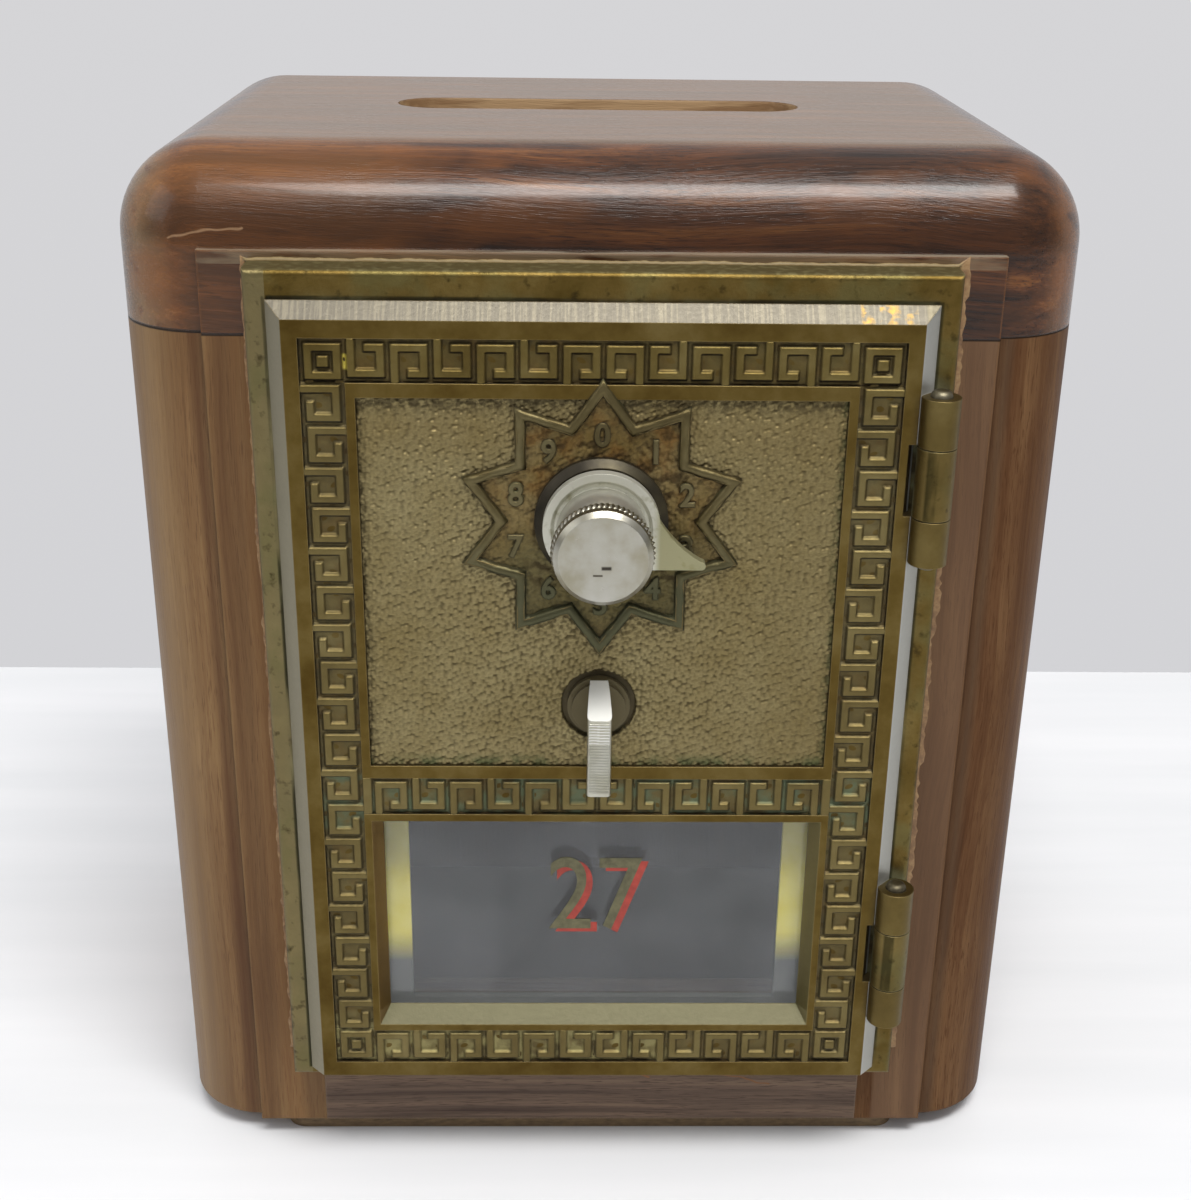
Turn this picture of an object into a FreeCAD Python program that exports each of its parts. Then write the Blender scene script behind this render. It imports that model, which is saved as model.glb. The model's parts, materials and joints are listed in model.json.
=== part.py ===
import FreeCAD
import Part
import math
import os

from FreeCAD import Vector

# Wooden money box with a cast brass combination door.
# Millimetres, +Z up. X = 0 is the middle of the case, Y = 0 the middle of its depth, and Z = 0 the
# underside of the base. The door faces -Y. "Depth" is measured back from the flat front of the wood, and is
# negative in front of it. Heights on the door and its frame are measured up from the frame's lower edge.

# Door frame, which the whole box is built round
frame_width = 88.9
frame_height = 120.5
flange_thick = 5.2
flange_edge = 0.8
flange_side_cover = 4.45
flange_foot_cover = 1.5
flange_head_cover = 9.4
sleeve_wall = 2.4
sleeve_depth = 10.0
sleeve_side_gap = 0.8
sleeve_end_gap = 0.4

# Case
case_depth = 82.0
side_thick = 22.0
top_thick = 22.6
edge_round = 12.0
edge_step = 1.3
back_thick = 8.0
rabbet_width = 7.0
rail_height = 14.0
rail_depth = 18.0
base_thick = 3.2
base_overlap = 6.7
base_setback = 2.0
base_corner = 3.0
slot_length = 59.0
slot_width = 12.0
slot_offset = 7.5
top_dowel_radius = 4.0
top_dowel_in_side = 18.0
top_dowel_in_top = 13.0
top_dowel_margin = 22.0
rail_dowel_radius = 3.0
rail_dowel_reach = 12.0

# Door
door_side_margin = 2.85
door_bottom = 1.8
door_head_margin = 3.6
door_plate = 2.3
door_bevel = 2.0
door_gap = 0.2
rim_side_margin = 1.6
rim_end_margin = 0.9
rim_wall = 2.4
band_side_margin = 4.0
band_foot_margin = 2.4
band_head_margin = 4.3
band_width = 5.6
band_sink = 0.6
panel_side_land = 1.2
panel_head_land = 1.9
panel_foot_land = 1.9
panel_sink = 0.7
window_side_land = 1.0
window_head_land = 1.1
window_foot_land = 1.0
window_side_bevel = 1.4
window_sill_bevel = 2.2
window_head_bevel = 0.6
star_points = 10
star_radius = 18.5
star_notch_radius = 13.4
star_rib = 1.0
star_proud = 0.3

# Hinges
hinge_offset = 0.6
hinge_lower_foot = 12.2
hinge_head_margin = 14.6
hinge_notch_gap = 1.05
knuckle_radius = 2.5
knuckle_lower = 6.2
knuckle_middle = 9.6
knuckle_upper = 6.4
knuckle_gap = 0.15
pedestal_half = 1.5
pin_radius = 1.4
pin_stand = 0.9
pin_dome = 0.85

# Window
glass_thick = 2.5
glass_gap = 0.3
glass_bed = 0.1
glass_end_lap = 1.7
retainer_thick = 1.0
retainer_edge = 0.4
retainer_lap = 3.2
retainer_rail = 4.0

# Dial
dial_drop = 16.2
spindle_radius = 2.5
spindle_tail = 1.0
bush_flange_radius = 8.6
bush_flange_thick = 1.9
bush_wall = 2.0
bush_nut_flats = 13.0
bush_nut_thick = 2.0
knob_gap = 0.3
skirt_radius = 7.5
skirt_thick = 1.5
skirt_rim = 1.0
skirt_dish = 0.45
neck_radius = 5.6
neck_bulge = 0.6
waist_radius = 4.6
cap_radius = 6.15
cap_face_radius = 5.5
knob_reach = 11.8
cap_thick = 3.2
pointer_reach = 14.2
pointer_angle = -20.0
pointer_shoulder_angle = 40.0
pointer_tip_radius = 0.55
pointer_hollow = 1.1

# Lever
lever_drop = 26.3
lever_rise = 9.2
lever_dish_gap = 0.8
lever_dish_sink = 0.4
lever_boss_radius = 4.2
lever_hub_stand = 0.8
lever_hub_cover = 0.7
lever_bush_wall = 1.4
lever_nut_flats = 11.0
lever_thick = 3.3
lever_root = 2.2
lever_reach = 7.4
lever_top = 4.2
lever_crown = 0.9
lever_front_top = 1.5
lever_front_bottom = 9.7
lever_tip_flat = 1.2
lever_heel = 3.6
lever_edge = 0.6

# Lock
lock_right = 29.2
lock_wall = 1.2
lock_corner = 2.0
post_radius = 2.6
post_sink = 0.2
post_gap = 3.1
boss_height = 3.0
wheel_radius = 12.0
wheel_thick = 2.0
wheel_space = 0.8
wheel_side_gap = 0.1
wheel_nut_gap = 0.8
wheel_room = 0.4
gate_width = 4.0
gate_depth = 3.5
fly_radius = 8.5
fly_pin_radius = 0.8
hub_wall = 1.9
hub_length = 2.4
hub_room = 2.0
clip_stand = 1.9
clip_thick = 1.0
clip_gap = 0.2
clip_groove_depth = 0.6
crank_disc_radius = 8.0
crank_disc_thick = 2.4
crank_radius = 6.0
crank_swing = 60.0
crank_pin_radius = 1.5
bolt_height = 7.6
bolt_thick = 3.0
bolt_gap = 0.6
bolt_room = 1.0
bolt_tip_gap = 2.0
bolt_nose = 1.2
arm_gap = 1.8
arm_width = 3.4
arm_post_gap = 0.6
fence_gap = 0.3
fence_height = 3.2
guide_x = 14.0
guide_radius = 2.0
guide_tail = 2.8
guide_sink = 0.8
strike_depth = 3.0

# Fasteners
wood_screw_radius = 1.4
wood_screw_head = 2.8
wood_screw_length = 14.0
base_screw_edge = 3.5
base_screw_margin = 20.0
frame_screw_depth = 6.0
frame_screw_low = 22.0
frame_screw_head_margin = 28.5
case_screw_radius = 1.25
case_screw_head = 2.3
case_screw_head_height = 1.3
retainer_screw_radius = 0.8
retainer_screw_head = 1.5
retainer_screw_head_height = 0.8

# Clearances
running_clear = 0.05
fixing_clear = 0.03
sliding_clear = 0.2

# How near an edge's middle has to be to a listed point
edge_match = 0.01

# Case and frame, worked out from the frame outwards
frame_half = frame_width / 2
sleeve_half = frame_half - flange_side_cover
opening_half = sleeve_half - sleeve_wall
inner_half = sleeve_half + sleeve_side_gap
half_width = inner_half + side_thick
field_half = half_width - edge_round
base_half = inner_half + base_overlap
base_screw_x = base_half - base_screw_edge
front_y = -case_depth / 2
slot_place = case_depth / 2 + slot_offset
frame_foot = base_thick + rail_height - flange_foot_cover
side_height = rail_height - flange_foot_cover + frame_height - flange_head_cover
seam = base_thick + side_height
case_top = seam + top_thick
ledge = case_top - edge_round
sleeve_foot = flange_foot_cover + sleeve_end_gap
sleeve_head = frame_height - flange_head_cover - sleeve_end_gap
opening_foot = sleeve_foot + sleeve_wall
opening_head = sleeve_head - sleeve_wall
flange_face = -flange_thick

# Door, from its edges inwards and from its top down to the window, which takes what height is left
plate_back = flange_face - door_gap
door_face = plate_back - door_plate
panel_floor = door_face + panel_sink
door_half = frame_half - door_side_margin
door_top = frame_height - door_head_margin
rim_half = opening_half - rim_side_margin
rim_inner_half = rim_half - rim_wall
rim_foot = opening_foot + rim_end_margin
rim_head = opening_head - rim_end_margin
band_half = door_half - band_side_margin
band_inner = band_half - band_width
band_bottom = door_bottom + band_foot_margin
band_top = door_top - band_head_margin
panel_half = band_inner - panel_side_land
panel_top = band_top - band_width - panel_head_land
dial_height = panel_top - dial_drop
lever_height = dial_height - lever_drop
panel_bottom = lever_height - lever_rise
mid_band_top = panel_bottom - panel_foot_land
window_half = band_inner - window_side_land
window_top = mid_band_top - band_width - window_head_land
window_bottom = band_bottom + band_width + window_foot_land
window_back_half = window_half - window_side_bevel
window_back_foot = window_bottom + window_sill_bevel
window_back_head = window_top - window_head_bevel
glass_half = rim_inner_half - glass_gap
glass_back = plate_back + glass_thick
rim_back = glass_back + glass_bed
retainer_half = rim_half - retainer_edge
retainer_foot = window_back_foot - retainer_rail
retainer_head = window_back_head + retainer_rail
retainer_back = rim_back + retainer_thick
retainer_screw_x = rim_half - rim_wall / 2
hinge_x = door_half + hinge_offset
hinge_depth = plate_back - knuckle_radius
hinge_length = knuckle_lower + knuckle_middle + knuckle_upper
hinge_upper_foot = frame_height - hinge_head_margin - hinge_length
hinge_notch_radius = knuckle_radius + hinge_notch_gap

# Dial, lever and bolt, from the door backwards
dial_bush_radius = spindle_radius + bush_wall
lever_bush_radius = spindle_radius + lever_bush_wall
lever_dish_radius = lever_boss_radius + lever_dish_gap
knob_back = panel_floor - bush_flange_thick - knob_gap
nut_back = plate_back + bush_nut_thick
wheel_front = nut_back + wheel_nut_gap
wheel_back = wheel_front + 3 * wheel_thick + 2 * wheel_space
lock_inner_back = wheel_back + hub_length + hub_room
lock_back = lock_inner_back + lock_wall
boss_end = plate_back + boss_height
hub_radius = spindle_radius + hub_wall
clip_front = lock_back + clip_gap
crank_back = wheel_front + crank_disc_thick
bolt_front = crank_back + bolt_gap
bolt_back = bolt_front + bolt_thick
pin_end = bolt_back + bolt_gap
half_swing = math.radians(crank_swing / 2)
crank_pin_x = crank_radius * math.sin(half_swing)
crank_pin_drop = crank_radius * math.cos(half_swing)
bolt_travel = 2 * crank_pin_x
bolt_centre = lever_height - (crank_radius + crank_pin_drop) / 2
bolt_tip = opening_half - bolt_tip_gap
bolt_tail = guide_x + guide_radius + bolt_travel + sliding_clear + guide_tail
arm_inner = wheel_radius + arm_gap
arm_outer = arm_inner + arm_width
fence_x = wheel_radius + fence_gap

# Lock case, round the wheels, the bolt and the posts that the bolt's arm passes
post_inset = lock_wall + post_radius - post_sink
post_left = arm_outer + bolt_travel + arm_post_gap + post_radius
post_right = lock_right - post_inset
post_low = bolt_centre + bolt_height / 2 + post_gap + post_radius
lock_left = post_left + post_inset
lock_bottom = bolt_centre - bolt_height / 2 - bolt_room - lock_wall
lock_top = dial_height + wheel_radius + wheel_room + lock_wall
post_high = lock_top - post_inset


def place(x, depth, height):
    """A point from its distance to the middle, its depth and its height above the base."""
    return Vector(x, front_y + depth, height)


def block(x0, x1, depth0, depth1, height0, height1):
    """A rectangular block between two corners."""
    return Part.makeBox(x1 - x0, depth1 - depth0, height1 - height0, place(x0, depth0, height0))


def rod_along_x(x0, x1, depth, height, radius):
    """A round rod that runs across the case."""
    return Part.makeCylinder(radius, x1 - x0, place(x0, depth, height), Vector(1, 0, 0))


def rod_along_y(x, height, depth0, depth1, radius):
    """A round rod that runs from front to back."""
    return Part.makeCylinder(radius, depth1 - depth0, place(x, depth0, height), Vector(0, 1, 0))


def rod_along_z(x, depth, height0, height1, radius):
    """An upright round rod."""
    return Part.makeCylinder(radius, height1 - height0, place(x, depth, height0), Vector(0, 0, 1))


def outline_face(points):
    """A flat face inside a closed run of straight lines."""
    return Part.Face(Part.makePolygon(points + [points[0]]))


def upright_plate(outline, depth0, depth1):
    """A plate parallel to the door, from its outline of (x, height) points."""
    face = outline_face([place(x, depth0, height) for x, height in outline])
    return face.extrude(Vector(0, depth1 - depth0, 0))


def turned_along_y(x, height, profile):
    """A turned piece on a front-to-back axis, from its half section of (depth, radius) points."""
    face = outline_face([place(x + radius, depth, height) for depth, radius in profile])
    return face.revolve(place(x, 0, height), Vector(0, 1, 0), 360)


def hexagon_nut(x, height, depth0, depth1, flats, bore):
    """A six-sided nut with a plain bore."""
    corner = flats / math.sqrt(3)
    outline = []
    for index in range(6):
        angle = math.radians(60 * index)
        outline.append((x + corner * math.cos(angle), height + corner * math.sin(angle)))
    nut = upright_plate(outline, depth0, depth1)
    return nut.cut(rod_along_y(x, height, depth0, depth1, bore))


def edges_at(shape, middles):
    """The straight edges whose middle points are listed."""
    found = []
    for edge in shape.Edges:
        centre = edge.BoundBox.Center
        if any(centre.distanceToPoint(middle) < edge_match for middle in middles):
            found.append(edge)
    return found


def wood_screw(tip_direction, head):
    """A countersunk wood screw: flat head, tapered seat and plain shank."""
    seat = wood_screw_head - wood_screw_radius
    shoulder = head + tip_direction * seat
    cone = Part.makeCone(wood_screw_head, wood_screw_radius, seat, head, tip_direction)
    shank = Part.makeCylinder(wood_screw_radius, wood_screw_length - seat, shoulder, tip_direction)
    return cone.fuse(shank).removeSplitter()


def wood_screw_hole(tip_direction, head):
    """The countersunk hole for a wood screw, a little wider than the screw."""
    seat = wood_screw_head - wood_screw_radius
    wide = wood_screw_head + fixing_clear
    narrow = wood_screw_radius + fixing_clear
    cone = Part.makeCone(wide, narrow, seat, head, tip_direction)
    shank = Part.makeCylinder(narrow, wood_screw_length + fixing_clear, head, tip_direction)
    return cone.fuse(shank)


def base_screw_heads():
    """Where the base screws' heads lie, on the underside of the base."""
    places = []
    for x in (-base_screw_x, base_screw_x):
        for depth in (base_screw_margin, case_depth - base_screw_margin):
            places.append(place(x, depth, 0))
    return places


def frame_screws_of(sign):
    """Head places of the screws through one side of the frame's sleeve; sign is -1 for the left."""
    heights = (frame_screw_low, frame_height - frame_screw_head_margin)
    return [place(sign * opening_half, frame_screw_depth, frame_foot + height) for height in heights]


def top_dowels_of(sign, clearance):
    """The upright dowels between one side and the top; a clearance makes the holes."""
    x = sign * (half_width - side_thick / 2)
    dowels = []
    for depth in (top_dowel_margin, case_depth - top_dowel_margin):
        foot = seam - top_dowel_in_side - clearance
        head = seam + top_dowel_in_top + clearance
        dowels.append(rod_along_z(x, depth, foot, head, top_dowel_radius + clearance))
    return dowels


def rail_dowel_of(sign, clearance):
    """The dowel between one side and the bottom rail; a clearance makes the hole."""
    near = sign * (inner_half - rail_dowel_reach - clearance)
    far = sign * (inner_half + rail_dowel_reach + clearance)
    height = base_thick + rail_height / 2
    radius = rail_dowel_radius + clearance
    return rod_along_x(min(near, far), max(near, far), rail_depth / 2, height, radius)


def side_board(sign):
    """A side of the case: its plan has a stepped round at the front and a rabbet at the back."""
    floor = base_thick
    outline = [
        place(sign * half_width, edge_step + edge_round, floor),
        place(sign * half_width, case_depth, floor),
        place(sign * (inner_half + rabbet_width), case_depth, floor),
        place(sign * (inner_half + rabbet_width), case_depth - back_thick, floor),
        place(sign * inner_half, case_depth - back_thick, floor),
        place(sign * inner_half, 0, floor),
        place(sign * field_half, 0, floor),
        place(sign * field_half, edge_step, floor),
    ]
    diagonal = edge_round * math.sqrt(0.5)
    middle = place(sign * (field_half + diagonal), edge_step + edge_round - diagonal, floor)
    front_round = Part.Arc(outline[-1], middle, outline[0]).toShape()
    wire = Part.Wire(Part.makePolygon(outline).Edges + [front_round])
    board = Part.Face(wire).extrude(Vector(0, 0, side_height))
    holes = top_dowels_of(sign, fixing_clear) + [rail_dowel_of(sign, fixing_clear)]
    holes += [wood_screw_hole(Vector(sign, 0, 0), head) for head in frame_screws_of(sign)]
    holes += [wood_screw_hole(Vector(0, 0, 1), head) for head in base_screw_heads()]
    return board.cut(holes)


def bolt_way(left, right):
    """The way that is cut for the bolt between two places across the case."""
    half = bolt_height / 2 + sliding_clear
    centre = frame_foot + bolt_centre
    front = bolt_front - sliding_clear
    back = bolt_back + sliding_clear
    return block(left, right, front, back, centre - half, centre + half)


def left_side():
    """The left side, with the shallow mortise that the bolt is thrown into."""
    return side_board(-1).cut(bolt_way(-inner_half - strike_depth, -inner_half))


def coin_slot(height0, height1):
    """The long slot with round ends."""
    reach = (slot_length - slot_width) / 2
    radius = slot_width / 2
    middle = block(-reach, reach, slot_place - radius, slot_place + radius, height0, height1)
    ends = [rod_along_z(sign * reach, slot_place, height0, height1, radius) for sign in (-1, 1)]
    return middle.fuse(ends)


def top_board():
    """The top: rounded on its front and side edges, with a flat front field and the coin slot."""
    board = block(-half_width, half_width, edge_step, case_depth, seam, case_top)
    middle_depth = (edge_step + case_depth) / 2
    middle_height = (seam + case_top) / 2
    rounded = [
        place(0, edge_step, case_top),
        place(-half_width, middle_depth, case_top),
        place(half_width, middle_depth, case_top),
        place(-half_width, edge_step, middle_height),
        place(half_width, edge_step, middle_height),
    ]
    board = board.makeFillet(edge_round, edges_at(board, rounded))
    board = board.fuse(block(-field_half, field_half, 0, edge_step + edge_round, seam, ledge))
    holes = top_dowels_of(-1, fixing_clear) + top_dowels_of(1, fixing_clear)
    holes.append(coin_slot(seam, case_top))
    return board.cut(holes).removeSplitter()


def bottom_rail():
    """The rail that closes the front below the door frame."""
    rail = block(-inner_half, inner_half, 0, rail_depth, base_thick, base_thick + rail_height)
    return rail.cut([rail_dowel_of(sign, fixing_clear) for sign in (-1, 1)])


def back_panel():
    """The board that closes the back, let into the rabbets of the sides."""
    half = inner_half + rabbet_width
    return block(-half, half, case_depth - back_thick, case_depth, base_thick, seam)


def base_panel():
    """The thin base, screwed up into the sides."""
    panel = block(-base_half, base_half, base_setback, case_depth - base_setback, 0, base_thick)
    corners = [edge for edge in panel.Edges if abs(edge.BoundBox.ZLength - base_thick) < edge_match]
    panel = panel.makeFillet(base_corner, corners)
    return panel.cut([wood_screw_hole(Vector(0, 0, 1), head) for head in base_screw_heads()])


def knuckle_tube(foot, length, bore):
    """One round knuckle of a hinge, with its bore."""
    height = frame_foot + foot
    tube = rod_along_z(hinge_x, hinge_depth, height, height + length, knuckle_radius)
    return tube, rod_along_z(hinge_x, hinge_depth, height, height + length, bore)


def door_frame():
    """The cast frame: a flat flange, a sleeve let into the case, and the middle hinge knuckles."""
    top = frame_foot + frame_height
    frame = block(-frame_half, frame_half, flange_face, 0, frame_foot, top)
    front_edges = [
        place(0, flange_face, frame_foot),
        place(0, flange_face, top),
        place(-frame_half, flange_face, (frame_foot + top) / 2),
        place(frame_half, flange_face, (frame_foot + top) / 2),
    ]
    frame = frame.makeFillet(flange_edge, edges_at(frame, front_edges))
    foot = frame_foot + sleeve_foot
    head = frame_foot + sleeve_head
    frame = frame.fuse(block(-sleeve_half, sleeve_half, 0, sleeve_depth, foot, head))
    low = frame_foot + opening_foot
    high = frame_foot + opening_head
    frame = frame.cut(block(-opening_half, opening_half, flange_face, sleeve_depth, low, high))
    bores = [bolt_way(-inner_half - strike_depth, -opening_half)]
    for hinge_foot in (hinge_lower_foot, hinge_upper_foot):
        middle_foot = hinge_foot + knuckle_lower + knuckle_gap
        length = knuckle_middle - 2 * knuckle_gap
        tube, bore = knuckle_tube(middle_foot, length, pin_radius + fixing_clear)
        height = frame_foot + middle_foot
        left = hinge_x - pedestal_half
        right = hinge_x + pedestal_half
        pedestal = block(left, right, hinge_depth, flange_face, height, height + length)
        frame = frame.fuse([tube, pedestal])
        bores.append(bore)
    for sign in (-1, 1):
        bores += [wood_screw_hole(Vector(sign, 0, 0), head) for head in frame_screws_of(sign)]
    return frame.cut(bores).removeSplitter()


def frame_screws():
    """The wood screws that hold the frame's sleeve to the two sides."""
    screws = []
    for sign in (-1, 1):
        screws += [wood_screw(Vector(sign, 0, 0), head) for head in frame_screws_of(sign)]
    return Part.makeCompound(screws)


def bottom_screws():
    """The wood screws of the base."""
    return Part.makeCompound([wood_screw(Vector(0, 0, 1), head) for head in base_screw_heads()])


def hinge_pins():
    """Two pins whose domed ends stand a little out of the knuckles."""
    pins = []
    for hinge_foot in (hinge_lower_foot, hinge_upper_foot):
        foot = frame_foot + hinge_foot - pin_stand
        head = frame_foot + hinge_foot + hinge_length + pin_stand
        pin = rod_along_z(hinge_x, hinge_depth, foot, head, pin_radius)
        rims = [edge for edge in pin.Edges if edge.BoundBox.ZLength < edge_match]
        pins.append(pin.makeFillet(pin_dome, rims))
    return Part.makeCompound(pins)


def door_rectangle(half, low, high, depth0, depth1):
    """A block on the door, centred on it, between two heights."""
    return block(-half, half, depth0, depth1, frame_foot + low, frame_foot + high)


def window_outline(depth, share):
    """The window's outline at a depth, opened out by a share of its slopes."""
    half = window_half + share * window_side_bevel
    low = frame_foot + window_bottom - share * window_sill_bevel
    high = frame_foot + window_top + share * window_head_bevel
    corners = [(-half, low), (half, low), (half, high), (-half, high)]
    points = [place(x, depth, height) for x, height in corners]
    return Part.makePolygon(points + [points[0]])


def window_cut():
    """The window's cut, with sloping sides, from one plate's thickness in front of the face to its back."""
    in_front = window_outline(door_face - door_plate, 1)
    behind = window_outline(plate_back, -1)
    return Part.makeLoft([in_front, behind], True, True)


def star_outline(scale):
    """The corners of the star, with one point straight up."""
    corners = []
    for index in range(2 * star_points):
        radius = star_radius if index % 2 == 0 else star_notch_radius
        angle = math.pi / star_points * index
        x = scale * radius * math.sin(angle)
        corners.append((x, frame_foot + dial_height + scale * radius * math.cos(angle)))
    return corners


def star_ridge():
    """The raised outline of the star on the panel."""
    turn = math.pi / star_points
    across = star_notch_radius * math.sin(turn)
    along = star_radius - star_notch_radius * math.cos(turn)
    edge_distance = star_radius * across / math.hypot(across, along)
    outer = upright_plate(star_outline(1), door_face - star_proud, plate_back)
    inner = upright_plate(star_outline(1 - star_rib / edge_distance), door_face - star_proud, plate_back)
    return outer.cut(inner)


def lock_posts():
    """Places of the four posts that carry the lock case."""
    return [(x, height) for x in (-post_left, post_right) for height in (post_low, post_high)]


def retainer_holes():
    """Places of the four screws that hold the glass retainer to the door's rim."""
    heights = (window_bottom + retainer_rail, window_top - retainer_rail)
    return [(x, height) for x in (-retainer_screw_x, retainer_screw_x) for height in heights]


def door_panel():
    """The cast door: bevelled plate, sunk bands and panel, star, window, back rim and outer knuckles."""
    plate = door_rectangle(door_half, door_bottom, door_top, door_face, plate_back)
    middle = frame_foot + (door_bottom + door_top) / 2
    bevelled = [
        place(0, door_face, frame_foot + door_top),
        place(-door_half, door_face, middle),
        place(door_half, door_face, middle),
    ]
    plate = plate.makeChamfer(door_bevel, edges_at(plate, bevelled))
    band_floor = door_face + band_sink
    ring = door_rectangle(band_half, band_bottom, band_top, door_face, band_floor)
    ring = ring.cut(
        door_rectangle(band_inner, band_bottom + band_width, band_top - band_width, door_face, band_floor)
    )
    middle_band = door_rectangle(band_inner, mid_band_top - band_width, mid_band_top, door_face, band_floor)
    sunk_panel = door_rectangle(panel_half, panel_bottom, panel_top, door_face, panel_floor)
    door = plate.cut([ring, middle_band, sunk_panel])
    rim = door_rectangle(rim_half, rim_foot, rim_head, plate_back, rim_back)
    rim = rim.cut(
        door_rectangle(rim_inner_half, rim_foot + rim_wall, rim_head - rim_wall, plate_back, rim_back)
    )
    additions = [star_ridge(), rim]
    bores = [window_cut()]
    for x, height in lock_posts():
        additions.append(rod_along_y(x, frame_foot + height, plate_back, boss_end, post_radius))
        hole = rod_along_y(x, frame_foot + height, plate_back, boss_end, case_screw_radius + fixing_clear)
        bores.append(hole)
    for x, height in retainer_holes():
        screw_room = retainer_screw_radius + fixing_clear
        bores.append(rod_along_y(x, frame_foot + height, plate_back, rim_back, screw_room))
    for hinge_foot in (hinge_lower_foot, hinge_upper_foot):
        low = frame_foot + hinge_foot + knuckle_lower
        high = low + knuckle_middle
        notch = rod_along_z(hinge_x, hinge_depth, low, high, hinge_notch_radius)
        beside = block(hinge_x, hinge_x + hinge_notch_radius, door_face, plate_back, low, high)
        door = door.cut([notch, beside])
        upper_foot = hinge_foot + knuckle_lower + knuckle_middle
        for foot, length in ((hinge_foot, knuckle_lower), (upper_foot, knuckle_upper)):
            tube, bore = knuckle_tube(foot, length, pin_radius + running_clear)
            additions.append(tube)
            bores.append(bore)
    dial_bore = dial_bush_radius + fixing_clear
    bores.append(rod_along_y(0, frame_foot + dial_height, door_face, plate_back, dial_bore))
    lever_bore = lever_bush_radius + fixing_clear
    lever_centre = frame_foot + lever_height
    dish_floor = panel_floor + lever_dish_sink
    bores.append(rod_along_y(0, lever_centre, door_face, plate_back, lever_bore))
    bores.append(rod_along_y(0, lever_centre, door_face, dish_floor, lever_dish_radius))
    guide_room = guide_radius + fixing_clear
    guide_height = frame_foot + bolt_centre
    bores.append(rod_along_y(guide_x, guide_height, plate_back - guide_sink, plate_back, guide_room))
    return door.fuse(additions).cut(bores).removeSplitter()


def window_glass():
    """The pane behind the window, inside the door's rim."""
    low = window_back_foot - glass_end_lap
    high = window_back_head + glass_end_lap
    return door_rectangle(glass_half, low, high, plate_back, glass_back)


def glass_retainer():
    """The thin frame that holds the pane against the door, screwed to the rim."""
    sheet = door_rectangle(retainer_half, retainer_foot, retainer_head, rim_back, retainer_back)
    half = window_back_half - retainer_lap
    clear = door_rectangle(half, window_back_foot, window_back_head, rim_back, retainer_back)
    radius = retainer_screw_radius + fixing_clear
    holes = []
    for x, height in retainer_holes():
        holes.append(rod_along_y(x, frame_foot + height, rim_back, retainer_back, radius))
    return sheet.cut([clear] + holes)


def flat_head_screw(x, height, head_depth, tip_depth, radius, head_radius, head_height):
    """A small machine screw put in from the back, with a plain round head."""
    shank = rod_along_y(x, height, tip_depth, head_depth, radius)
    head = rod_along_y(x, height, head_depth, head_depth + head_height, head_radius)
    return shank.fuse(head)


def retainer_screws():
    """The four screws of the glass retainer."""
    sizes = (retainer_screw_radius, retainer_screw_head, retainer_screw_head_height)
    screws = []
    for x, height in retainer_holes():
        screws.append(flat_head_screw(x, frame_foot + height, retainer_back, plate_back, *sizes))
    return Part.makeCompound(screws)


def case_screws():
    """The four long screws of the lock case."""
    sizes = (case_screw_radius, case_screw_head, case_screw_head_height)
    screws = []
    for x, height in lock_posts():
        screws.append(flat_head_screw(x, frame_foot + height, lock_back, plate_back, *sizes))
    return Part.makeCompound(screws)


def lock_case():
    """The lock's housing: a shallow pan with rounded edges and four inside posts, open to the door."""
    low = frame_foot + lock_bottom
    high = frame_foot + lock_top
    pan = block(-lock_left, lock_right, plate_back, lock_back, low, high)
    middle_x = (lock_right - lock_left) / 2
    middle_height = (low + high) / 2
    back_edges = [
        place(middle_x, lock_back, low),
        place(middle_x, lock_back, high),
        place(-lock_left, lock_back, middle_height),
        place(lock_right, lock_back, middle_height),
    ]
    pan = pan.makeFillet(lock_corner, edges_at(pan, back_edges))
    left = -lock_left + lock_wall
    right = lock_right - lock_wall
    pan = pan.cut(block(left, right, plate_back, lock_inner_back, low + lock_wall, high - lock_wall))
    posts = []
    bores = []
    for x, height in lock_posts():
        posts.append(rod_along_y(x, frame_foot + height, boss_end, lock_inner_back, post_radius))
        clearance = case_screw_radius + fixing_clear
        bores.append(rod_along_y(x, frame_foot + height, boss_end, lock_back, clearance))
        boss_room = post_radius + fixing_clear
        bores.append(rod_along_y(x, frame_foot + height, plate_back, boss_end, boss_room))
    dial_bore = spindle_radius + running_clear
    bores.append(rod_along_y(0, frame_foot + dial_height, lock_inner_back, lock_back, dial_bore))
    bores.append(bolt_way(-lock_left, left))
    return pan.fuse(posts).cut(bores).removeSplitter()


def dial_bush():
    """The flanged bush that the dial turns in."""
    height = frame_foot + dial_height
    bore = spindle_radius + running_clear
    front = panel_floor - bush_flange_thick
    profile = [
        (front, bore),
        (front, bush_flange_radius - bush_flange_thick / 2),
        (front + bush_flange_thick / 2, bush_flange_radius),
        (panel_floor, bush_flange_radius),
        (panel_floor, dial_bush_radius),
        (nut_back, dial_bush_radius),
        (nut_back, bore),
    ]
    return turned_along_y(0, height, profile)


def lever_bush():
    """The plain bush that the lever turns in, sunk in its dish."""
    height = frame_foot + lever_height
    bore = spindle_radius + running_clear
    front = panel_floor + lever_dish_sink
    profile = [
        (front, bore),
        (front, lever_bush_radius),
        (nut_back, lever_bush_radius),
        (nut_back, bore),
    ]
    return turned_along_y(0, height, profile)


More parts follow.
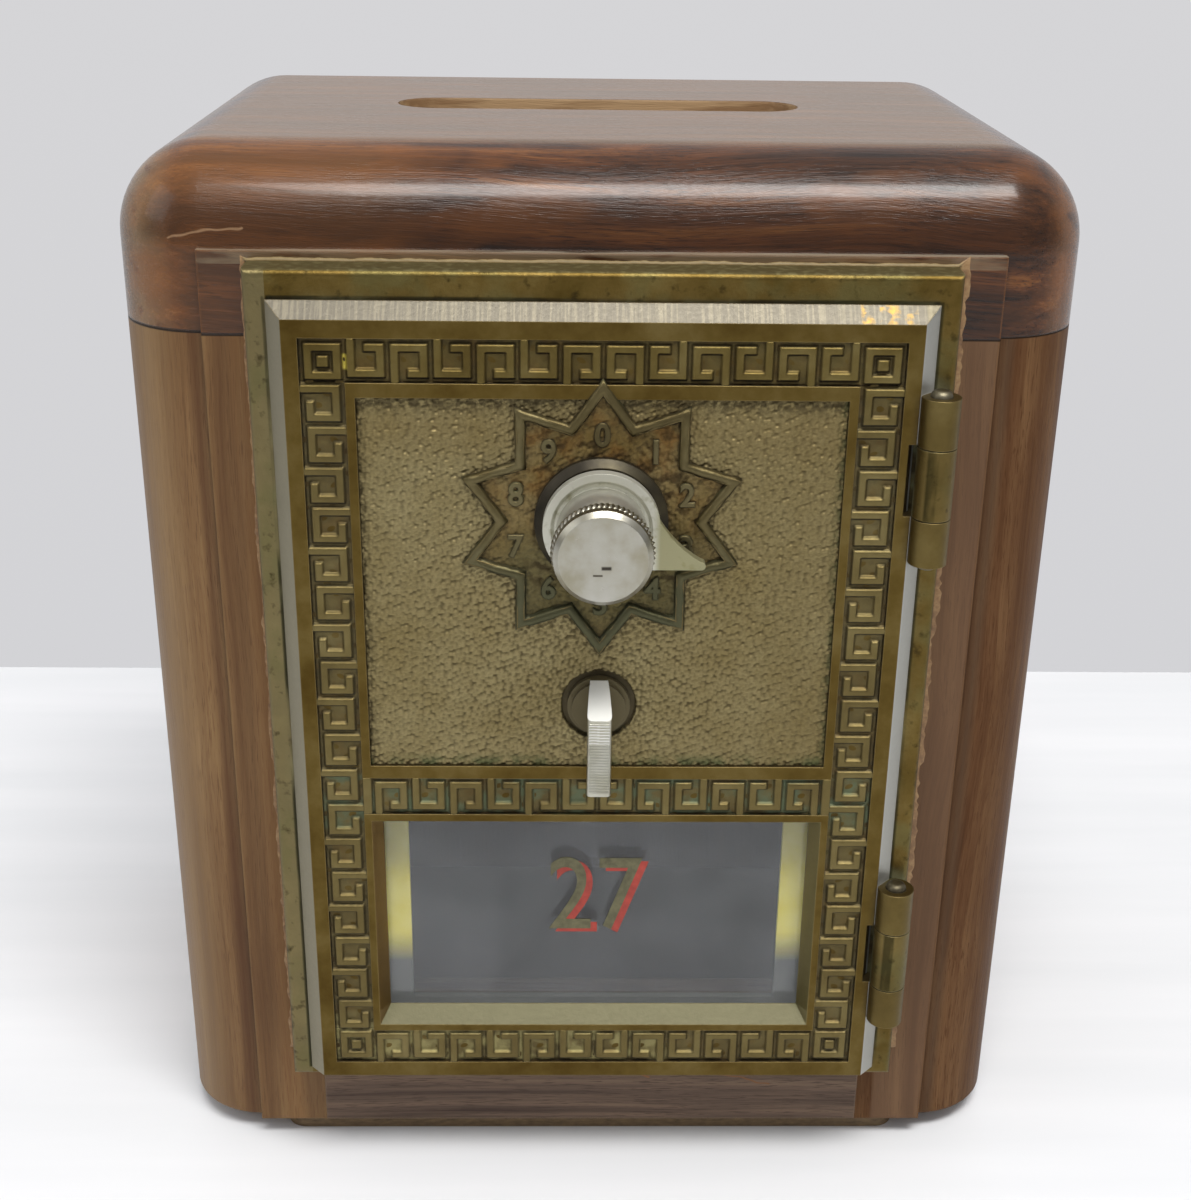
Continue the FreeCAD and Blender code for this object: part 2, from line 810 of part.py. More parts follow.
def bush_nuts():
    """The nuts that hold the two bushes from behind."""
    dial_bore = dial_bush_radius + fixing_clear
    lever_bore = lever_bush_radius + fixing_clear
    dial_nut = hexagon_nut(0, frame_foot + dial_height, plate_back, nut_back, bush_nut_flats, dial_bore)
    lever_nut = hexagon_nut(0, frame_foot + lever_height, plate_back, nut_back, lever_nut_flats, lever_bore)
    return Part.makeCompound([dial_nut, lever_nut])


def guide_post():
    """The stud in the door that keeps the bolt level."""
    return rod_along_y(guide_x, frame_foot + bolt_centre, plate_back - guide_sink, pin_end, guide_radius)


def pointer_blade(depth0, depth1):
    """The dial's curved pointer: straight below, hollow above, with a small round tip."""
    centre = frame_foot + dial_height
    angle = math.radians(pointer_angle)
    tip_x = pointer_reach * math.cos(angle)
    tip_height = centre + pointer_reach * math.sin(angle)
    low_height = tip_height - pointer_tip_radius
    low_x = math.sqrt(skirt_radius ** 2 - (low_height - centre) ** 2)
    start = place(low_x, depth0, low_height)
    tip_low = place(tip_x - pointer_tip_radius, depth0, low_height)
    tip_end = place(tip_x, depth0, tip_height)
    tip_high = place(tip_x - pointer_tip_radius, depth0, tip_height + pointer_tip_radius)
    shoulder_angle = math.radians(pointer_shoulder_angle)
    shoulder_x = skirt_radius * math.cos(shoulder_angle)
    shoulder_height = centre + skirt_radius * math.sin(shoulder_angle)
    shoulder = place(shoulder_x, depth0, shoulder_height)
    hollow_x = (tip_x + shoulder_x) / 2 - pointer_tip_radius
    hollow_height = (tip_height + shoulder_height) / 2 - pointer_hollow
    hollow = place(hollow_x, depth0, hollow_height)
    middle = place(0, depth0, centre)
    edges = [
        Part.LineSegment(middle, start).toShape(),
        Part.LineSegment(start, tip_low).toShape(),
        Part.Arc(tip_low, tip_end, tip_high).toShape(),
        Part.Arc(tip_high, hollow, shoulder).toShape(),
        Part.LineSegment(shoulder, middle).toShape(),
    ]
    return Part.Face(Part.Wire(edges)).extrude(Vector(0, depth1 - depth0, 0))


def dial_knob():
    """The dial: a dished skirt with a pointer, a bell-shaped neck and a flat cap."""
    height = frame_foot + dial_height
    bore = spindle_radius + fixing_clear
    skirt_front = knob_back - skirt_thick
    skirt_floor = skirt_front + skirt_dish
    rim_inside = skirt_radius - skirt_rim
    face = knob_back - knob_reach
    cap_back = face + cap_thick
    face_edge = cap_radius - cap_face_radius
    collar = cap_back + face_edge
    profile = [
        (collar, waist_radius),
        (cap_back, cap_radius),
        (face + face_edge, cap_radius),
        (face, cap_face_radius),
        (face, 0),
        (cap_back, 0),
        (cap_back, bore),
        (knob_back, bore),
        (knob_back, skirt_radius),
        (skirt_front, skirt_radius),
        (skirt_front, rim_inside),
        (skirt_floor, rim_inside - skirt_dish),
        (skirt_floor, neck_radius),
    ]
    points = [place(radius, depth, height) for depth, radius in profile]
    bell_radius = (neck_radius + waist_radius) / 2 + neck_bulge
    bell = Part.Arc(points[-1], place(bell_radius, (skirt_floor + collar) / 2, height), points[0])
    outline = Part.Wire(Part.makePolygon(points).Edges + [bell.toShape()])
    knob = Part.Face(outline).revolve(place(0, 0, height), Vector(0, 1, 0), 360)
    pointer = pointer_blade(skirt_front, knob_back)
    dish = rod_along_y(0, height, skirt_front, skirt_floor, rim_inside)
    pointer = pointer.cut([dish, rod_along_y(0, height, skirt_front, knob_back, bore)])
    return knob.fuse(pointer).removeSplitter()


def clip_groove(depth, length):
    """The half section of a spindle at the groove that its clip sits in."""
    floor_radius = spindle_radius - clip_groove_depth
    return [
        (depth, spindle_radius),
        (depth, floor_radius),
        (depth + length, floor_radius),
        (depth + length, spindle_radius),
    ]


def dial_spindle():
    """The dial's spindle, from inside the cap to behind the lock case."""
    front = knob_back - knob_reach + cap_thick
    end = clip_front + clip_thick + spindle_tail
    groove = clip_groove(clip_front - fixing_clear, clip_thick + 2 * fixing_clear)
    profile = [(front, 0), (front, spindle_radius)] + groove + [(end, spindle_radius), (end, 0)]
    return turned_along_y(0, frame_foot + dial_height, profile)


def spring_clip(height, depth):
    """An open retaining ring that snaps into a spindle's groove."""
    inner = spindle_radius - clip_groove_depth + fixing_clear
    clip_radius = spindle_radius + clip_stand
    ring = rod_along_y(0, height, depth, depth + clip_thick, clip_radius)
    hole = rod_along_y(0, height, depth, depth + clip_thick, inner)
    mouth = block(-inner, inner, depth, depth + clip_thick, height - clip_radius, height)
    return ring.cut([hole, mouth])


def dial_clip():
    """The clip that keeps the dial's spindle in the lock case."""
    return spring_clip(frame_foot + dial_height, clip_front)


def wheel_depth(index):
    """Front face of a wheel, counted from the door."""
    return wheel_front + index * (wheel_thick + wheel_space)


def tumbler_wheel(index, bore, pin_at_back, pin_at_front):
    """A lock wheel with its gate on the fence's side and small pins that pick up the next wheel."""
    height = frame_foot + dial_height
    front = wheel_depth(index)
    back = front + wheel_thick
    wheel = rod_along_y(0, height, front, back, wheel_radius)
    gate_floor = wheel_radius - gate_depth
    half = gate_width / 2
    cuts = [
        block(-wheel_radius, -gate_floor, front, back, height - half, height + half),
        rod_along_y(0, height, front, back, bore),
    ]
    wheel = wheel.cut(cuts)
    reach = wheel_space - wheel_side_gap
    pins = []
    if pin_at_back:
        pins.append(rod_along_y(0, height + fly_radius, back, back + reach, fly_pin_radius))
    if pin_at_front:
        offset = 2 * fly_pin_radius + sliding_clear
        turned_height = height + math.sqrt(fly_radius ** 2 - offset ** 2)
        pins.append(rod_along_y(offset, turned_height, front - reach, front, fly_pin_radius))
    return wheel.fuse(pins) if pins else wheel


def front_wheel():
    """The free wheel nearest the door."""
    return tumbler_wheel(0, spindle_radius + running_clear, True, False)


def middle_wheel():
    """The free wheel between the other two."""
    return tumbler_wheel(1, spindle_radius + running_clear, True, True)


def drive_wheel():
    """The wheel that is fixed to the spindle, with its hub."""
    wheel = tumbler_wheel(2, spindle_radius + fixing_clear, False, True)
    height = frame_foot + dial_height
    hub_end = wheel_back + hub_length
    hub = rod_along_y(0, height, wheel_back, hub_end, hub_radius)
    hub = hub.cut(rod_along_y(0, height, wheel_back, hub_end, spindle_radius + fixing_clear))
    return wheel.fuse(hub).removeSplitter()


def spacer_washers():
    """The thin washers that keep the wheels apart on the spindle."""
    height = frame_foot + dial_height
    washers = []
    for index in range(2):
        front = wheel_depth(index) + wheel_thick + wheel_side_gap
        back = wheel_depth(index + 1) - wheel_side_gap
        washer = rod_along_y(0, height, front, back, hub_radius)
        washers.append(washer.cut(rod_along_y(0, height, front, back, spindle_radius + fixing_clear)))
    return Part.makeCompound(washers)


def lever_spindle_front():
    """Depth of the lever spindle's front end, which the hub covers."""
    return door_face - lever_hub_stand + lever_hub_cover


def lever_fin():
    """The lever's fin: crowned on top, thin at the door and wide at the flat that the thumb moves."""
    height = frame_foot + lever_height
    root = door_face + panel_sink / 2
    front = door_face - lever_reach
    half = lever_thick / 2
    side_view = [
        (front, lever_front_top),
        (front, -lever_front_bottom),
        (front + lever_tip_flat, -lever_front_bottom),
        (root, -lever_heel),
        (root, lever_top),
    ]
    points = [place(-half, depth, height + rise) for depth, rise in side_view]
    crown_rise = (lever_top + lever_front_top) / 2 + lever_crown
    crown = Part.Arc(points[-1], place(-half, (root + front) / 2, height + crown_rise), points[0])
    outline = Part.Wire(Part.makePolygon(points).Edges + [crown.toShape()])
    fin = Part.Face(outline).extrude(Vector(lever_thick, 0, 0))
    low = height - lever_front_bottom
    plan = [(-half, front), (half, front), (lever_root / 2, root), (-lever_root / 2, root)]
    taper = outline_face([place(x, depth, low) for x, depth in plan])
    fin = fin.common(taper.extrude(Vector(0, 0, lever_front_bottom + lever_top + lever_crown)))
    front_centre = height + (lever_front_top - lever_front_bottom) / 2
    long_edges = [place(-half, front, front_centre), place(half, front, front_centre)]
    return fin.makeFillet(lever_edge, edges_at(fin, long_edges))


def latch_lever():
    """The thumb lever: a round boss in the dish, a low hub and the fin that leans out and down."""
    height = frame_foot + lever_height
    boss_back = panel_floor + lever_dish_sink - door_gap
    boss = rod_along_y(0, height, door_face, boss_back, lever_boss_radius)
    hub_front = door_face - lever_hub_stand
    hub = rod_along_y(0, height, hub_front, door_face, lever_boss_radius - lever_edge)
    bore = rod_along_y(0, height, lever_spindle_front(), boss_back, spindle_radius + fixing_clear)
    return boss.fuse([lever_fin(), hub]).cut(bore).removeSplitter()


def lever_spindle():
    """The lever's spindle, from the lever's hub to the crank disc."""
    return rod_along_y(0, frame_foot + lever_height, lever_spindle_front(), crank_back, spindle_radius)


def crank_disc():
    """The disc on the lever's spindle, with the crank pin that moves the bolt."""
    height = frame_foot + lever_height
    disc = rod_along_y(0, height, wheel_front, crank_back, crank_disc_radius)
    disc = disc.cut(rod_along_y(0, height, wheel_front, crank_back, spindle_radius + fixing_clear))
    pin_height = height - crank_pin_drop
    return disc.fuse(rod_along_y(crank_pin_x, pin_height, crank_back, pin_end, crank_pin_radius))


def latch_bolt():
    """The sliding bolt: a tongue with a sloped nose, a crank slot, a guide slot and the fence's arm."""
    centre = frame_foot + bolt_centre
    low = centre - bolt_height / 2
    high = centre + bolt_height / 2
    top = frame_foot + dial_height + fence_height / 2
    outline = [
        (-bolt_tip, low + bolt_nose),
        (-bolt_tip + bolt_nose, low),
        (bolt_tail, low),
        (bolt_tail, high),
        (-arm_inner, high),
        (-arm_inner, top),
        (-arm_outer, top),
        (-arm_outer, high),
        (-bolt_tip + bolt_nose, high),
        (-bolt_tip, high - bolt_nose),
    ]
    bolt = upright_plate(outline, bolt_front, bolt_back)
    pin_room = crank_pin_radius + sliding_clear
    lever_centre = frame_foot + lever_height
    slot_low = lever_centre - crank_radius
    slot_high = lever_centre - crank_pin_drop
    left = crank_pin_x - pin_room
    right = crank_pin_x + pin_room
    crank_slot = block(left, right, bolt_front, bolt_back, slot_low, slot_high)
    ends = [rod_along_y(crank_pin_x, end, bolt_front, bolt_back, pin_room) for end in (slot_low, slot_high)]
    guide_room = guide_radius + sliding_clear
    far = guide_x + bolt_travel
    guide_slot = block(guide_x, far, bolt_front, bolt_back, centre - guide_room, centre + guide_room)
    guide_ends = [rod_along_y(x, centre, bolt_front, bolt_back, guide_room) for x in (guide_x, far)]
    return bolt.cut([crank_slot, guide_slot] + ends + guide_ends)


def fence_bar():
    """The bar on the bolt's arm that feels for the wheels' gates."""
    height = frame_foot + dial_height
    low = height - fence_height / 2
    high = height + fence_height / 2
    bar = block(-arm_outer, -fence_x, wheel_front, wheel_back, low, high)
    front_seat = bolt_front - fixing_clear
    back_seat = bolt_back + fixing_clear
    seat = block(-arm_outer, -arm_inner + fixing_clear, front_seat, back_seat, low, high)
    return bar.cut(seat)


pieces = {
    "top_board": top_board,
    "left_side": left_side,
    "right_side": lambda: side_board(1),
    "bottom_rail": bottom_rail,
    "back_panel": back_panel,
    "base_panel": base_panel,
    "top_dowels": lambda: Part.makeCompound(top_dowels_of(-1, 0) + top_dowels_of(1, 0)),
    "rail_dowels": lambda: Part.makeCompound([rail_dowel_of(sign, 0) for sign in (-1, 1)]),
    "bottom_screws": bottom_screws,
    "door_frame": door_frame,
    "frame_screws": frame_screws,
    "hinge_pins": hinge_pins,
    "door_panel": door_panel,
    "window_glass": window_glass,
    "glass_retainer": glass_retainer,
    "retainer_screws": retainer_screws,
    "lock_case": lock_case,
    "case_screws": case_screws,
    "dial_bush": dial_bush,
    "lever_bush": lever_bush,
    "bush_nuts": bush_nuts,
    "guide_post": guide_post,
    "dial_knob": dial_knob,
    "dial_spindle": dial_spindle,
    "drive_wheel": drive_wheel,
    "spacer_washers": spacer_washers,
    "dial_clip": dial_clip,
    "middle_wheel": middle_wheel,
    "front_wheel": front_wheel,
    "latch_lever": latch_lever,
    "lever_spindle": lever_spindle,
    "crank_disc": crank_disc,
    "latch_bolt": latch_bolt,
    "fence_bar": fence_bar,
}

os.makedirs("parts", exist_ok=True)
for name, make in pieces.items():
    shape = make()
    if not shape.isValid():
        raise ValueError(name + " is not a valid solid")
    shape.exportStep("parts/" + name + ".step")
    print(name, len(shape.Solids), round(shape.Volume))
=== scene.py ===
# %% [markdown]
# # A walnut money box with an old cast brass door
# The box is a few thick walnut boards round a small brass lock door: a pointer dial in a ten-pointed star,
# a thumb lever, a glazed window and borders of Greek key. The solids come from the frame and stay where
# they are. This lesson gives each of them its finish and adds what a caster, an engraver or a plater leaves on
# the surface: the raised key pattern, the pebbled ground, the numerals, the knurl and the painted number.

# %% Load the frame and keep its box
import json
from collections import namedtuple

import bpy
import numpy as np
from mathutils import Matrix, Vector


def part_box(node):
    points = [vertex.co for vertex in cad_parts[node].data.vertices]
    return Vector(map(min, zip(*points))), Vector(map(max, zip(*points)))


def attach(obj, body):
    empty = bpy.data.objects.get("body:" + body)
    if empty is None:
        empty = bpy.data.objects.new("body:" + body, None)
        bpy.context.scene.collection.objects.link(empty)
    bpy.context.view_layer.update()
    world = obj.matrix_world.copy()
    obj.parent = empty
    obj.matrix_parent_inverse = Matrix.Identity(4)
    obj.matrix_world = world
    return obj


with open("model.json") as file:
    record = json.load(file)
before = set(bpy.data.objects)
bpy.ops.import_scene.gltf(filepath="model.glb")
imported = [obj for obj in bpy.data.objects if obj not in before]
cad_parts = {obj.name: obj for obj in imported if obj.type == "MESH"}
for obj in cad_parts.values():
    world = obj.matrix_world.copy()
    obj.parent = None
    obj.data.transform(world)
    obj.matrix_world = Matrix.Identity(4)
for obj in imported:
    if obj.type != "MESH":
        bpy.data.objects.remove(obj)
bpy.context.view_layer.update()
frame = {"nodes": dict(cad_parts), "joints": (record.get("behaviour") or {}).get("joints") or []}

# %% [markdown]
# ## Measures that the frame gives
# Everything on the door is placed from three things that the frame knows: the axis of the dial, which is also
# the middle of the star and lies on the door's flat face, the axis of the lever, and the door's own edges.

# %% Read the door's places
MM = 0.001
nodes = frame["nodes"]
joint_at = {joint["name"]: joint.get("pos_m") for joint in frame["joints"]}
dial_x, face_y, dial_z = np.array(joint_at["dial_turn"]) / MM
lever_z = joint_at["lever_turn"][2] / MM
door_low, door_high = (np.array(corner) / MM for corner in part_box("door_panel"))
door_half, door_foot, door_head = -door_low[0], door_low[2], door_high[2]
print("door half width", round(door_half, 2), "foot", round(door_foot, 2), "head", round(door_head, 2))

# %% [markdown]
# ## Camera
# A person holds the camera a little above the box and looks down at it. The place and the turn of the camera
# were solved from the corners of the case and the frame, so the picture lines up without any lens shift.

# %% Set the camera
FRAME_HEIGHT_PX = 1200
FOCAL_PX = 1732.3
SENSOR_MM = 36.0
eye = np.array([-5.0, -256.6, 182.15]) * MM
pitch, yaw, roll = np.radians([23.03, 1.21, 0.78])
ahead = np.array([np.sin(yaw) * np.cos(pitch), np.cos(yaw) * np.cos(pitch), -np.sin(pitch)])
level_right = np.array([np.cos(yaw), -np.sin(yaw), 0.0])
level_up = np.cross(level_right, ahead)
right = np.cos(roll) * level_right + np.sin(roll) * level_up
up = np.cos(roll) * level_up - np.sin(roll) * level_right
pose = np.eye(4)
pose[:3] = np.column_stack([right, up, -ahead, eye])

camera = bpy.data.objects.new("camera", bpy.data.cameras.new("camera"))
camera.data.sensor_width = SENSOR_MM
camera.data.lens = FOCAL_PX / FRAME_HEIGHT_PX * SENSOR_MM
camera.data.clip_start = 0.01
camera.matrix_world = Matrix(pose.tolist())
bpy.context.scene.collection.objects.link(camera)
bpy.context.scene.camera = camera
print("lens in mm:", round(camera.data.lens, 2))

# %% [markdown]
# ## Colours and nodes
# Colours are written as the sRGB hex values that a picture shows. Cycles works in linear light, so one function
# turns them over. A second function adds a node of any kind: a capitalised key is a socket of the node, a small
# one a property, and a link may name a node, whose first output is then used.

# %% Colour and node helpers
def linear(hex_colour):
    """sRGB hex to linear RGBA: each channel c becomes c/12.92 when small, else ((c+0.055)/1.055)^2.4."""
    channel = np.array([int(hex_colour[i:i + 2], 16) for i in (1, 3, 5)]) / 255
    bent = ((channel + 0.055) / 1.055) ** 2.4
    return (*np.where(channel <= 0.04045, channel / 12.92, bent).tolist(), 1.0)


def add(tree, kind, settings=None, links=None):
    """Adds one shader node, sets its sockets and properties, and links its inputs to earlier outputs."""
    node = tree.nodes.new("ShaderNode" + kind)
    for key, value in (settings or {}).items():
        if key == "stops":
            ramp = node.color_ramp.elements
            ramp[0].position, ramp[1].position = value[0][0], value[-1][0]
            ramp[0].color, ramp[1].color = linear(value[0][1]), linear(value[-1][1])
            for position, colour in value[1:-1]:
                ramp.new(position).color = linear(colour)
        elif isinstance(key, int) or key[0].isupper():
            colour = isinstance(value, str) and value.startswith("#")
            node.inputs[key].default_value = linear(value) if colour else value
        else:
            setattr(node, key, value)
    for key, source in (links or {}).items():
        tree.links.new(getattr(source, "outputs", [source])[0], node.inputs[key])
    return node


def begin(name):
    """A new empty material, its node tree and its Object coordinates, which are the frame's metres."""
    material = bpy.data.materials.new(name)
    material.use_nodes = True
    tree = material.node_tree
    tree.nodes.clear()
    return material, tree, add(tree, "TexCoord").outputs["Object"]


def per(size_mm):
    """The scale of a pattern whose features are this many millimetres wide."""
    return 1 / (size_mm * MM)


print("mid grey in linear light:", [round(c, 3) for c in linear("#808080")])

# %% [markdown]
# ## Floor, backdrop and light
# The box stands on a white board before a pale grey wall. The floor is a real surface that takes the shadow. The
# wall only has to be seen, straight or in a reflection, so it glows at its own colour for those rays, and lets
# light through for all others. Seen from behind it is clear, so that the box can be looked at from every side.

# %% Build the stage
WALL_BEHIND_MM = 128.0
STAGE_HALF_MM = 2500.0


def flat_stage(name, corners_mm, material):
    """One four-sided plane from its corners, marked as stage."""
    mesh = bpy.data.meshes.new(name)
    mesh.from_pydata((np.array(corners_mm) * MM).tolist(), [], [(0, 1, 2, 3)])
    mesh.materials.append(material)
    piece = bpy.data.objects.new(name, mesh)
    bpy.context.scene.collection.objects.link(piece)
    return piece


def white_board():
    """Painted board: almost white and matt, with faint level streaks from the brush."""
    material, tree, place = begin("white_painted_board")
    lie = add(tree, "Mapping", {"Scale": (per(170), per(16), 1.0)}, {"Vector": place})
    brush = add(tree, "TexNoise", {"Scale": 1.0, "Detail": 4}, {"Vector": lie})
    tone = add(tree, "ValToRGB", {"stops": [(0.3, "#e3e5e8"), (0.7, "#ecedf0")]}, {"Fac": brush})
    board = add(tree, "BsdfPrincipled", {"Roughness": 0.6}, {"Base Color": tone})
    add(tree, "OutputMaterial", links={"Surface": board})
    return material


def pale_wall():
    """Painted wall: shown to camera, glossy and transmitted rays from its front only."""
    material, tree, place = begin("pale_painted_wall")
    height = add(tree, "SeparateXYZ", links={"Vector": place}).outputs["Z"]
    rise = add(tree, "MapRange", {"From Max": 0.4}, {"Value": height})
    tone = add(tree, "ValToRGB", {"stops": [(0.0, "#d3d3d6"), (1.0, "#d8d7d8")]}, {"Fac": rise})
    glow = add(tree, "Emission", links={"Color": tone})
    ray = add(tree, "LightPath").outputs
    camera_or_gloss = add(tree, "Math", {"operation": "MAXIMUM"},
                          {0: ray["Is Camera Ray"], 1: ray["Is Glossy Ray"]})
    seen = add(tree, "Math", {"operation": "MAXIMUM"}, {0: camera_or_gloss, 1: ray["Is Transmission Ray"]})
    behind = add(tree, "NewGeometry").outputs["Backfacing"]
    front = add(tree, "Math", {"operation": "SUBTRACT", "use_clamp": True}, {0: seen, 1: behind})
    clear = add(tree, "BsdfTransparent")
    either = add(tree, "MixShader", links={0: front, 1: clear, 2: glow})
    add(tree, "OutputMaterial", links={"Surface": either})
    return material


side, wall_y = STAGE_HALF_MM, WALL_BEHIND_MM
flat_stage("floor", [(-side, -side, 0), (side, -side, 0), (side, side, 0), (-side, side, 0)], white_board())
flat_stage("backdrop", [(-side, wall_y, 0), (side, wall_y, 0), (side, wall_y, 2 * side), (-side, wall_y, 2 * side)],
           pale_wall())
print("stage reaches", 2 * side / 1000, "m across")

# %% [markdown]
# A room's light comes mostly from above. One long lamp panel hangs in front of the box and high over it, where it draws
# the long shine on the rounded edge of the top board. A weak one stands at the left, and the room itself
# is dim at eye level and bright towards the ceiling.

# %% Hang the lamps
LAMPS = [
    ("ceiling_panel", (0.12, -0.43, 1.00), (0.64, 0.26), 9.3, "#fffdfa"),
    ("side_fill", (-0.95, -0.35, 0.65), (0.60, 0.60), 1.6, "#f6f8ff"),
]
AIM = Vector((0, 0, 0.07))
ROOM_DIM, ROOM_BRIGHT = 0.30, 0.80
for name, spot, size, watts, colour in LAMPS:
    lamp = bpy.data.objects.new(name, bpy.data.lights.new(name, "AREA"))
    lamp.data.shape = "RECTANGLE"
    lamp.data.size, lamp.data.size_y = size
    lamp.data.energy = watts
    lamp.data.color = linear(colour)[:3]
    lamp.rotation_mode = "QUATERNION"
    lamp.rotation_quaternion = (AIM - Vector(spot)).to_track_quat("-Z", "Y")
    lamp.location = spot
    bpy.context.scene.collection.objects.link(lamp)

world = bpy.data.worlds.new("soft_room")
world.use_nodes = True
sky = world.node_tree
room = sky.nodes["Background"]
room.inputs["Color"].default_value = linear("#f5f5f6")
look = add(sky, "TexCoord").outputs["Generated"]
rise = add(sky, "SeparateXYZ", links={"Vector": look}).outputs["Z"]
glow = add(sky, "MapRange", {"To Min": ROOM_DIM, "To Max": ROOM_BRIGHT}, {"Value": rise})
sky.links.new(glow.outputs[0], room.inputs["Strength"])
bpy.context.scene.world = world
bpy.context.scene.view_settings.view_transform = "Standard"
print("lamps:", [name for name, *_ in LAMPS])

# %% [markdown]
# ## Edges and corners
# No real edge is knife sharp, and no corner is clean. The Bevel node rounds the shading of an edge, and where its
# normal leaves the true one there is an edge, which hands and cloths wear bright. Ambient occlusion finds corners,
# where dirt and green corrosion stay on the metals; on the walnut it darkens them as painted shade. Both are worked
# out from the shape, so they fit any piece.

# %% Edge and corner masks
def edges_and_corners(tree, radius_mm, corner_mm):
    """Rounded normal, a mask of worn edges and a mask of hollow corners, each from 0 to 1."""
    rounded = add(tree, "Bevel", {"samples": 4, "Radius": radius_mm * MM})
    true_normal = add(tree, "NewGeometry").outputs["Normal"]
    agree = add(tree, "VectorMath", {"operation": "DOT_PRODUCT"}, {0: rounded, 1: true_normal}).outputs["Value"]
    edge = add(tree, "MapRange", {"From Min": 0.995, "From Max": 0.86}, {"Value": agree})
    open_sky = add(tree, "AmbientOcclusion", {"samples": 6, "Distance": corner_mm * MM}).outputs["AO"]
    corner = add(tree, "MapRange", {"From Min": 0.86, "From Max": 0.38}, {"Value": open_sky})
    worn = add(tree, "Math", {"operation": "SUBTRACT", "use_clamp": True}, {0: edge, 1: corner})
    return rounded, worn, corner


print("edge and corner masks ready")

# %% [markdown]
# ## Marks of use and painted light
# Use leaves its marks in one place, or on faces of one kind: dust on a ledge, polish left in a groove, plate rubbed off
# a rim. Some marks are painted light or painted shade, laid in the same way. Each is a colour with a mask, and a mask
# is a product of a few simple ones: a box in the frame's own millimetres, cloudy patches, low places, and faces that
# point one way. The last holds from any side, because it asks how the surface lies and not from where it is seen.

# %% Masks and marks
EVERYWHERE = {"Z": (-50, 300)}
Mark = namedtuple("Mark", "colour strength bounds soft patch low face dull",
                  defaults=(EVERYWHERE, 0.05, None, False, None, 0.0))


def lay(tree, tone, colour, mask, strength=1.0):
    """Paints a colour over the tone so far, as strongly as the mask times the strength."""
    share = add(tree, "Math", {"operation": "MULTIPLY", 1: strength, "use_clamp": True}, {0: mask})
    return add(tree, "MixRGB", {"Color2": colour}, {"Fac": share, "Color1": tone})


def within(tree, place, bounds, soft_mm):
    """A mask of the box in bounds, given as {axis: (low_mm, high_mm)}. It is 1 inside, 0 outside, and rises from
    the border inwards over soft_mm."""
    spot = add(tree, "SeparateXYZ", links={"Vector": place}).outputs
    mask = None
    for axis, (low, high) in bounds.items():
        half = (high - low) / 2 * MM
        offset = add(tree, "Math", {"operation": "SUBTRACT", 1: (low + high) / 2 * MM}, {0: spot[axis]})
        away = add(tree, "Math", {"operation": "ABSOLUTE"}, {0: offset})
        inside = add(tree, "MapRange", {"From Min": half, "From Max": half - soft_mm * MM}, {"Value": away})
        both = {0: inside} if mask is None else {0: inside, 1: mask}
        mask = add(tree, "Math", {"operation": "MULTIPLY", 1: 1.0}, both)
    return mask


def patches(tree, place, size_mm, share, stretch=(1, 1, 1)):
    """A mask of cloudy patches of about that size, which cover about that share. Stretch draws them out by axis."""
    scale = (per(size_mm) / np.array(stretch)).tolist()
    drawn = add(tree, "Mapping", {"Scale": scale}, {"Vector": place})
    cloud = add(tree, "TexNoise", {"Scale": 1.0, "Detail": 4}, {"Vector": drawn})
    edge = 0.62 - 0.3 * share
    return add(tree, "MapRange", {"From Min": edge, "From Max": edge + 0.14}, {"Value": cloud})


def facing(tree, axis, aim, spread=0.2):
    """A mask of faces whose own normal reaches about aim along the axis, from -1 to 1."""
    normal = add(tree, "NewGeometry").outputs["True Normal"]
    reach = add(tree, "SeparateXYZ", links={"Vector": normal}).outputs[axis]
    return add(tree, "Math", {"operation": "COMPARE", 1: aim, 2: spread}, {0: reach})


def lay_marks(tree, place, tone, marks, low):
    """Lays the marks over the tone in turn. Low is the mask of low places, for marks that lie only there. Returns the
    tone and a mask of the dull matter that now lies on the surface."""
    dull = add(tree, "Math", {"operation": "MULTIPLY", 1: 0.0}, {0: low})
    for mark in marks:
        masks = [within(tree, place, mark.bounds, mark.soft)]
        masks += [patches(tree, place, *mark.patch)] if mark.patch else []
        masks += [low] if mark.low else []
        masks += [facing(tree, *mark.face)] if mark.face else []
        mask = masks[0]
        for other in masks[1:]:
            mask = add(tree, "Math", {"operation": "MULTIPLY"}, {0: mask, 1: other})
        tone = lay(tree, tone, mark.colour, mask, mark.strength)
        crust = add(tree, "Math", {"operation": "MULTIPLY", 1: mark.dull * mark.strength}, {0: mask})
        dull = add(tree, "Math", {"operation": "MAXIMUM"}, {0: dull, 1: crust})
    return tone, dull


print("a mark holds", Mark._fields)

# %% [markdown]
# ## Walnut
# Oiled walnut: brown with darker streaks that run with the board, long fine pores, and patches that lean to orange
# or to purple. A solid (three-dimensional) pattern is used, so that the end grain on the ends of the top
# board comes by itself: noise is drawn out along the grain, bent a little by a wide slow noise, and read as colour.

# %% Walnut finish
FRONT_HALF = {"Y": (-80, 0)}


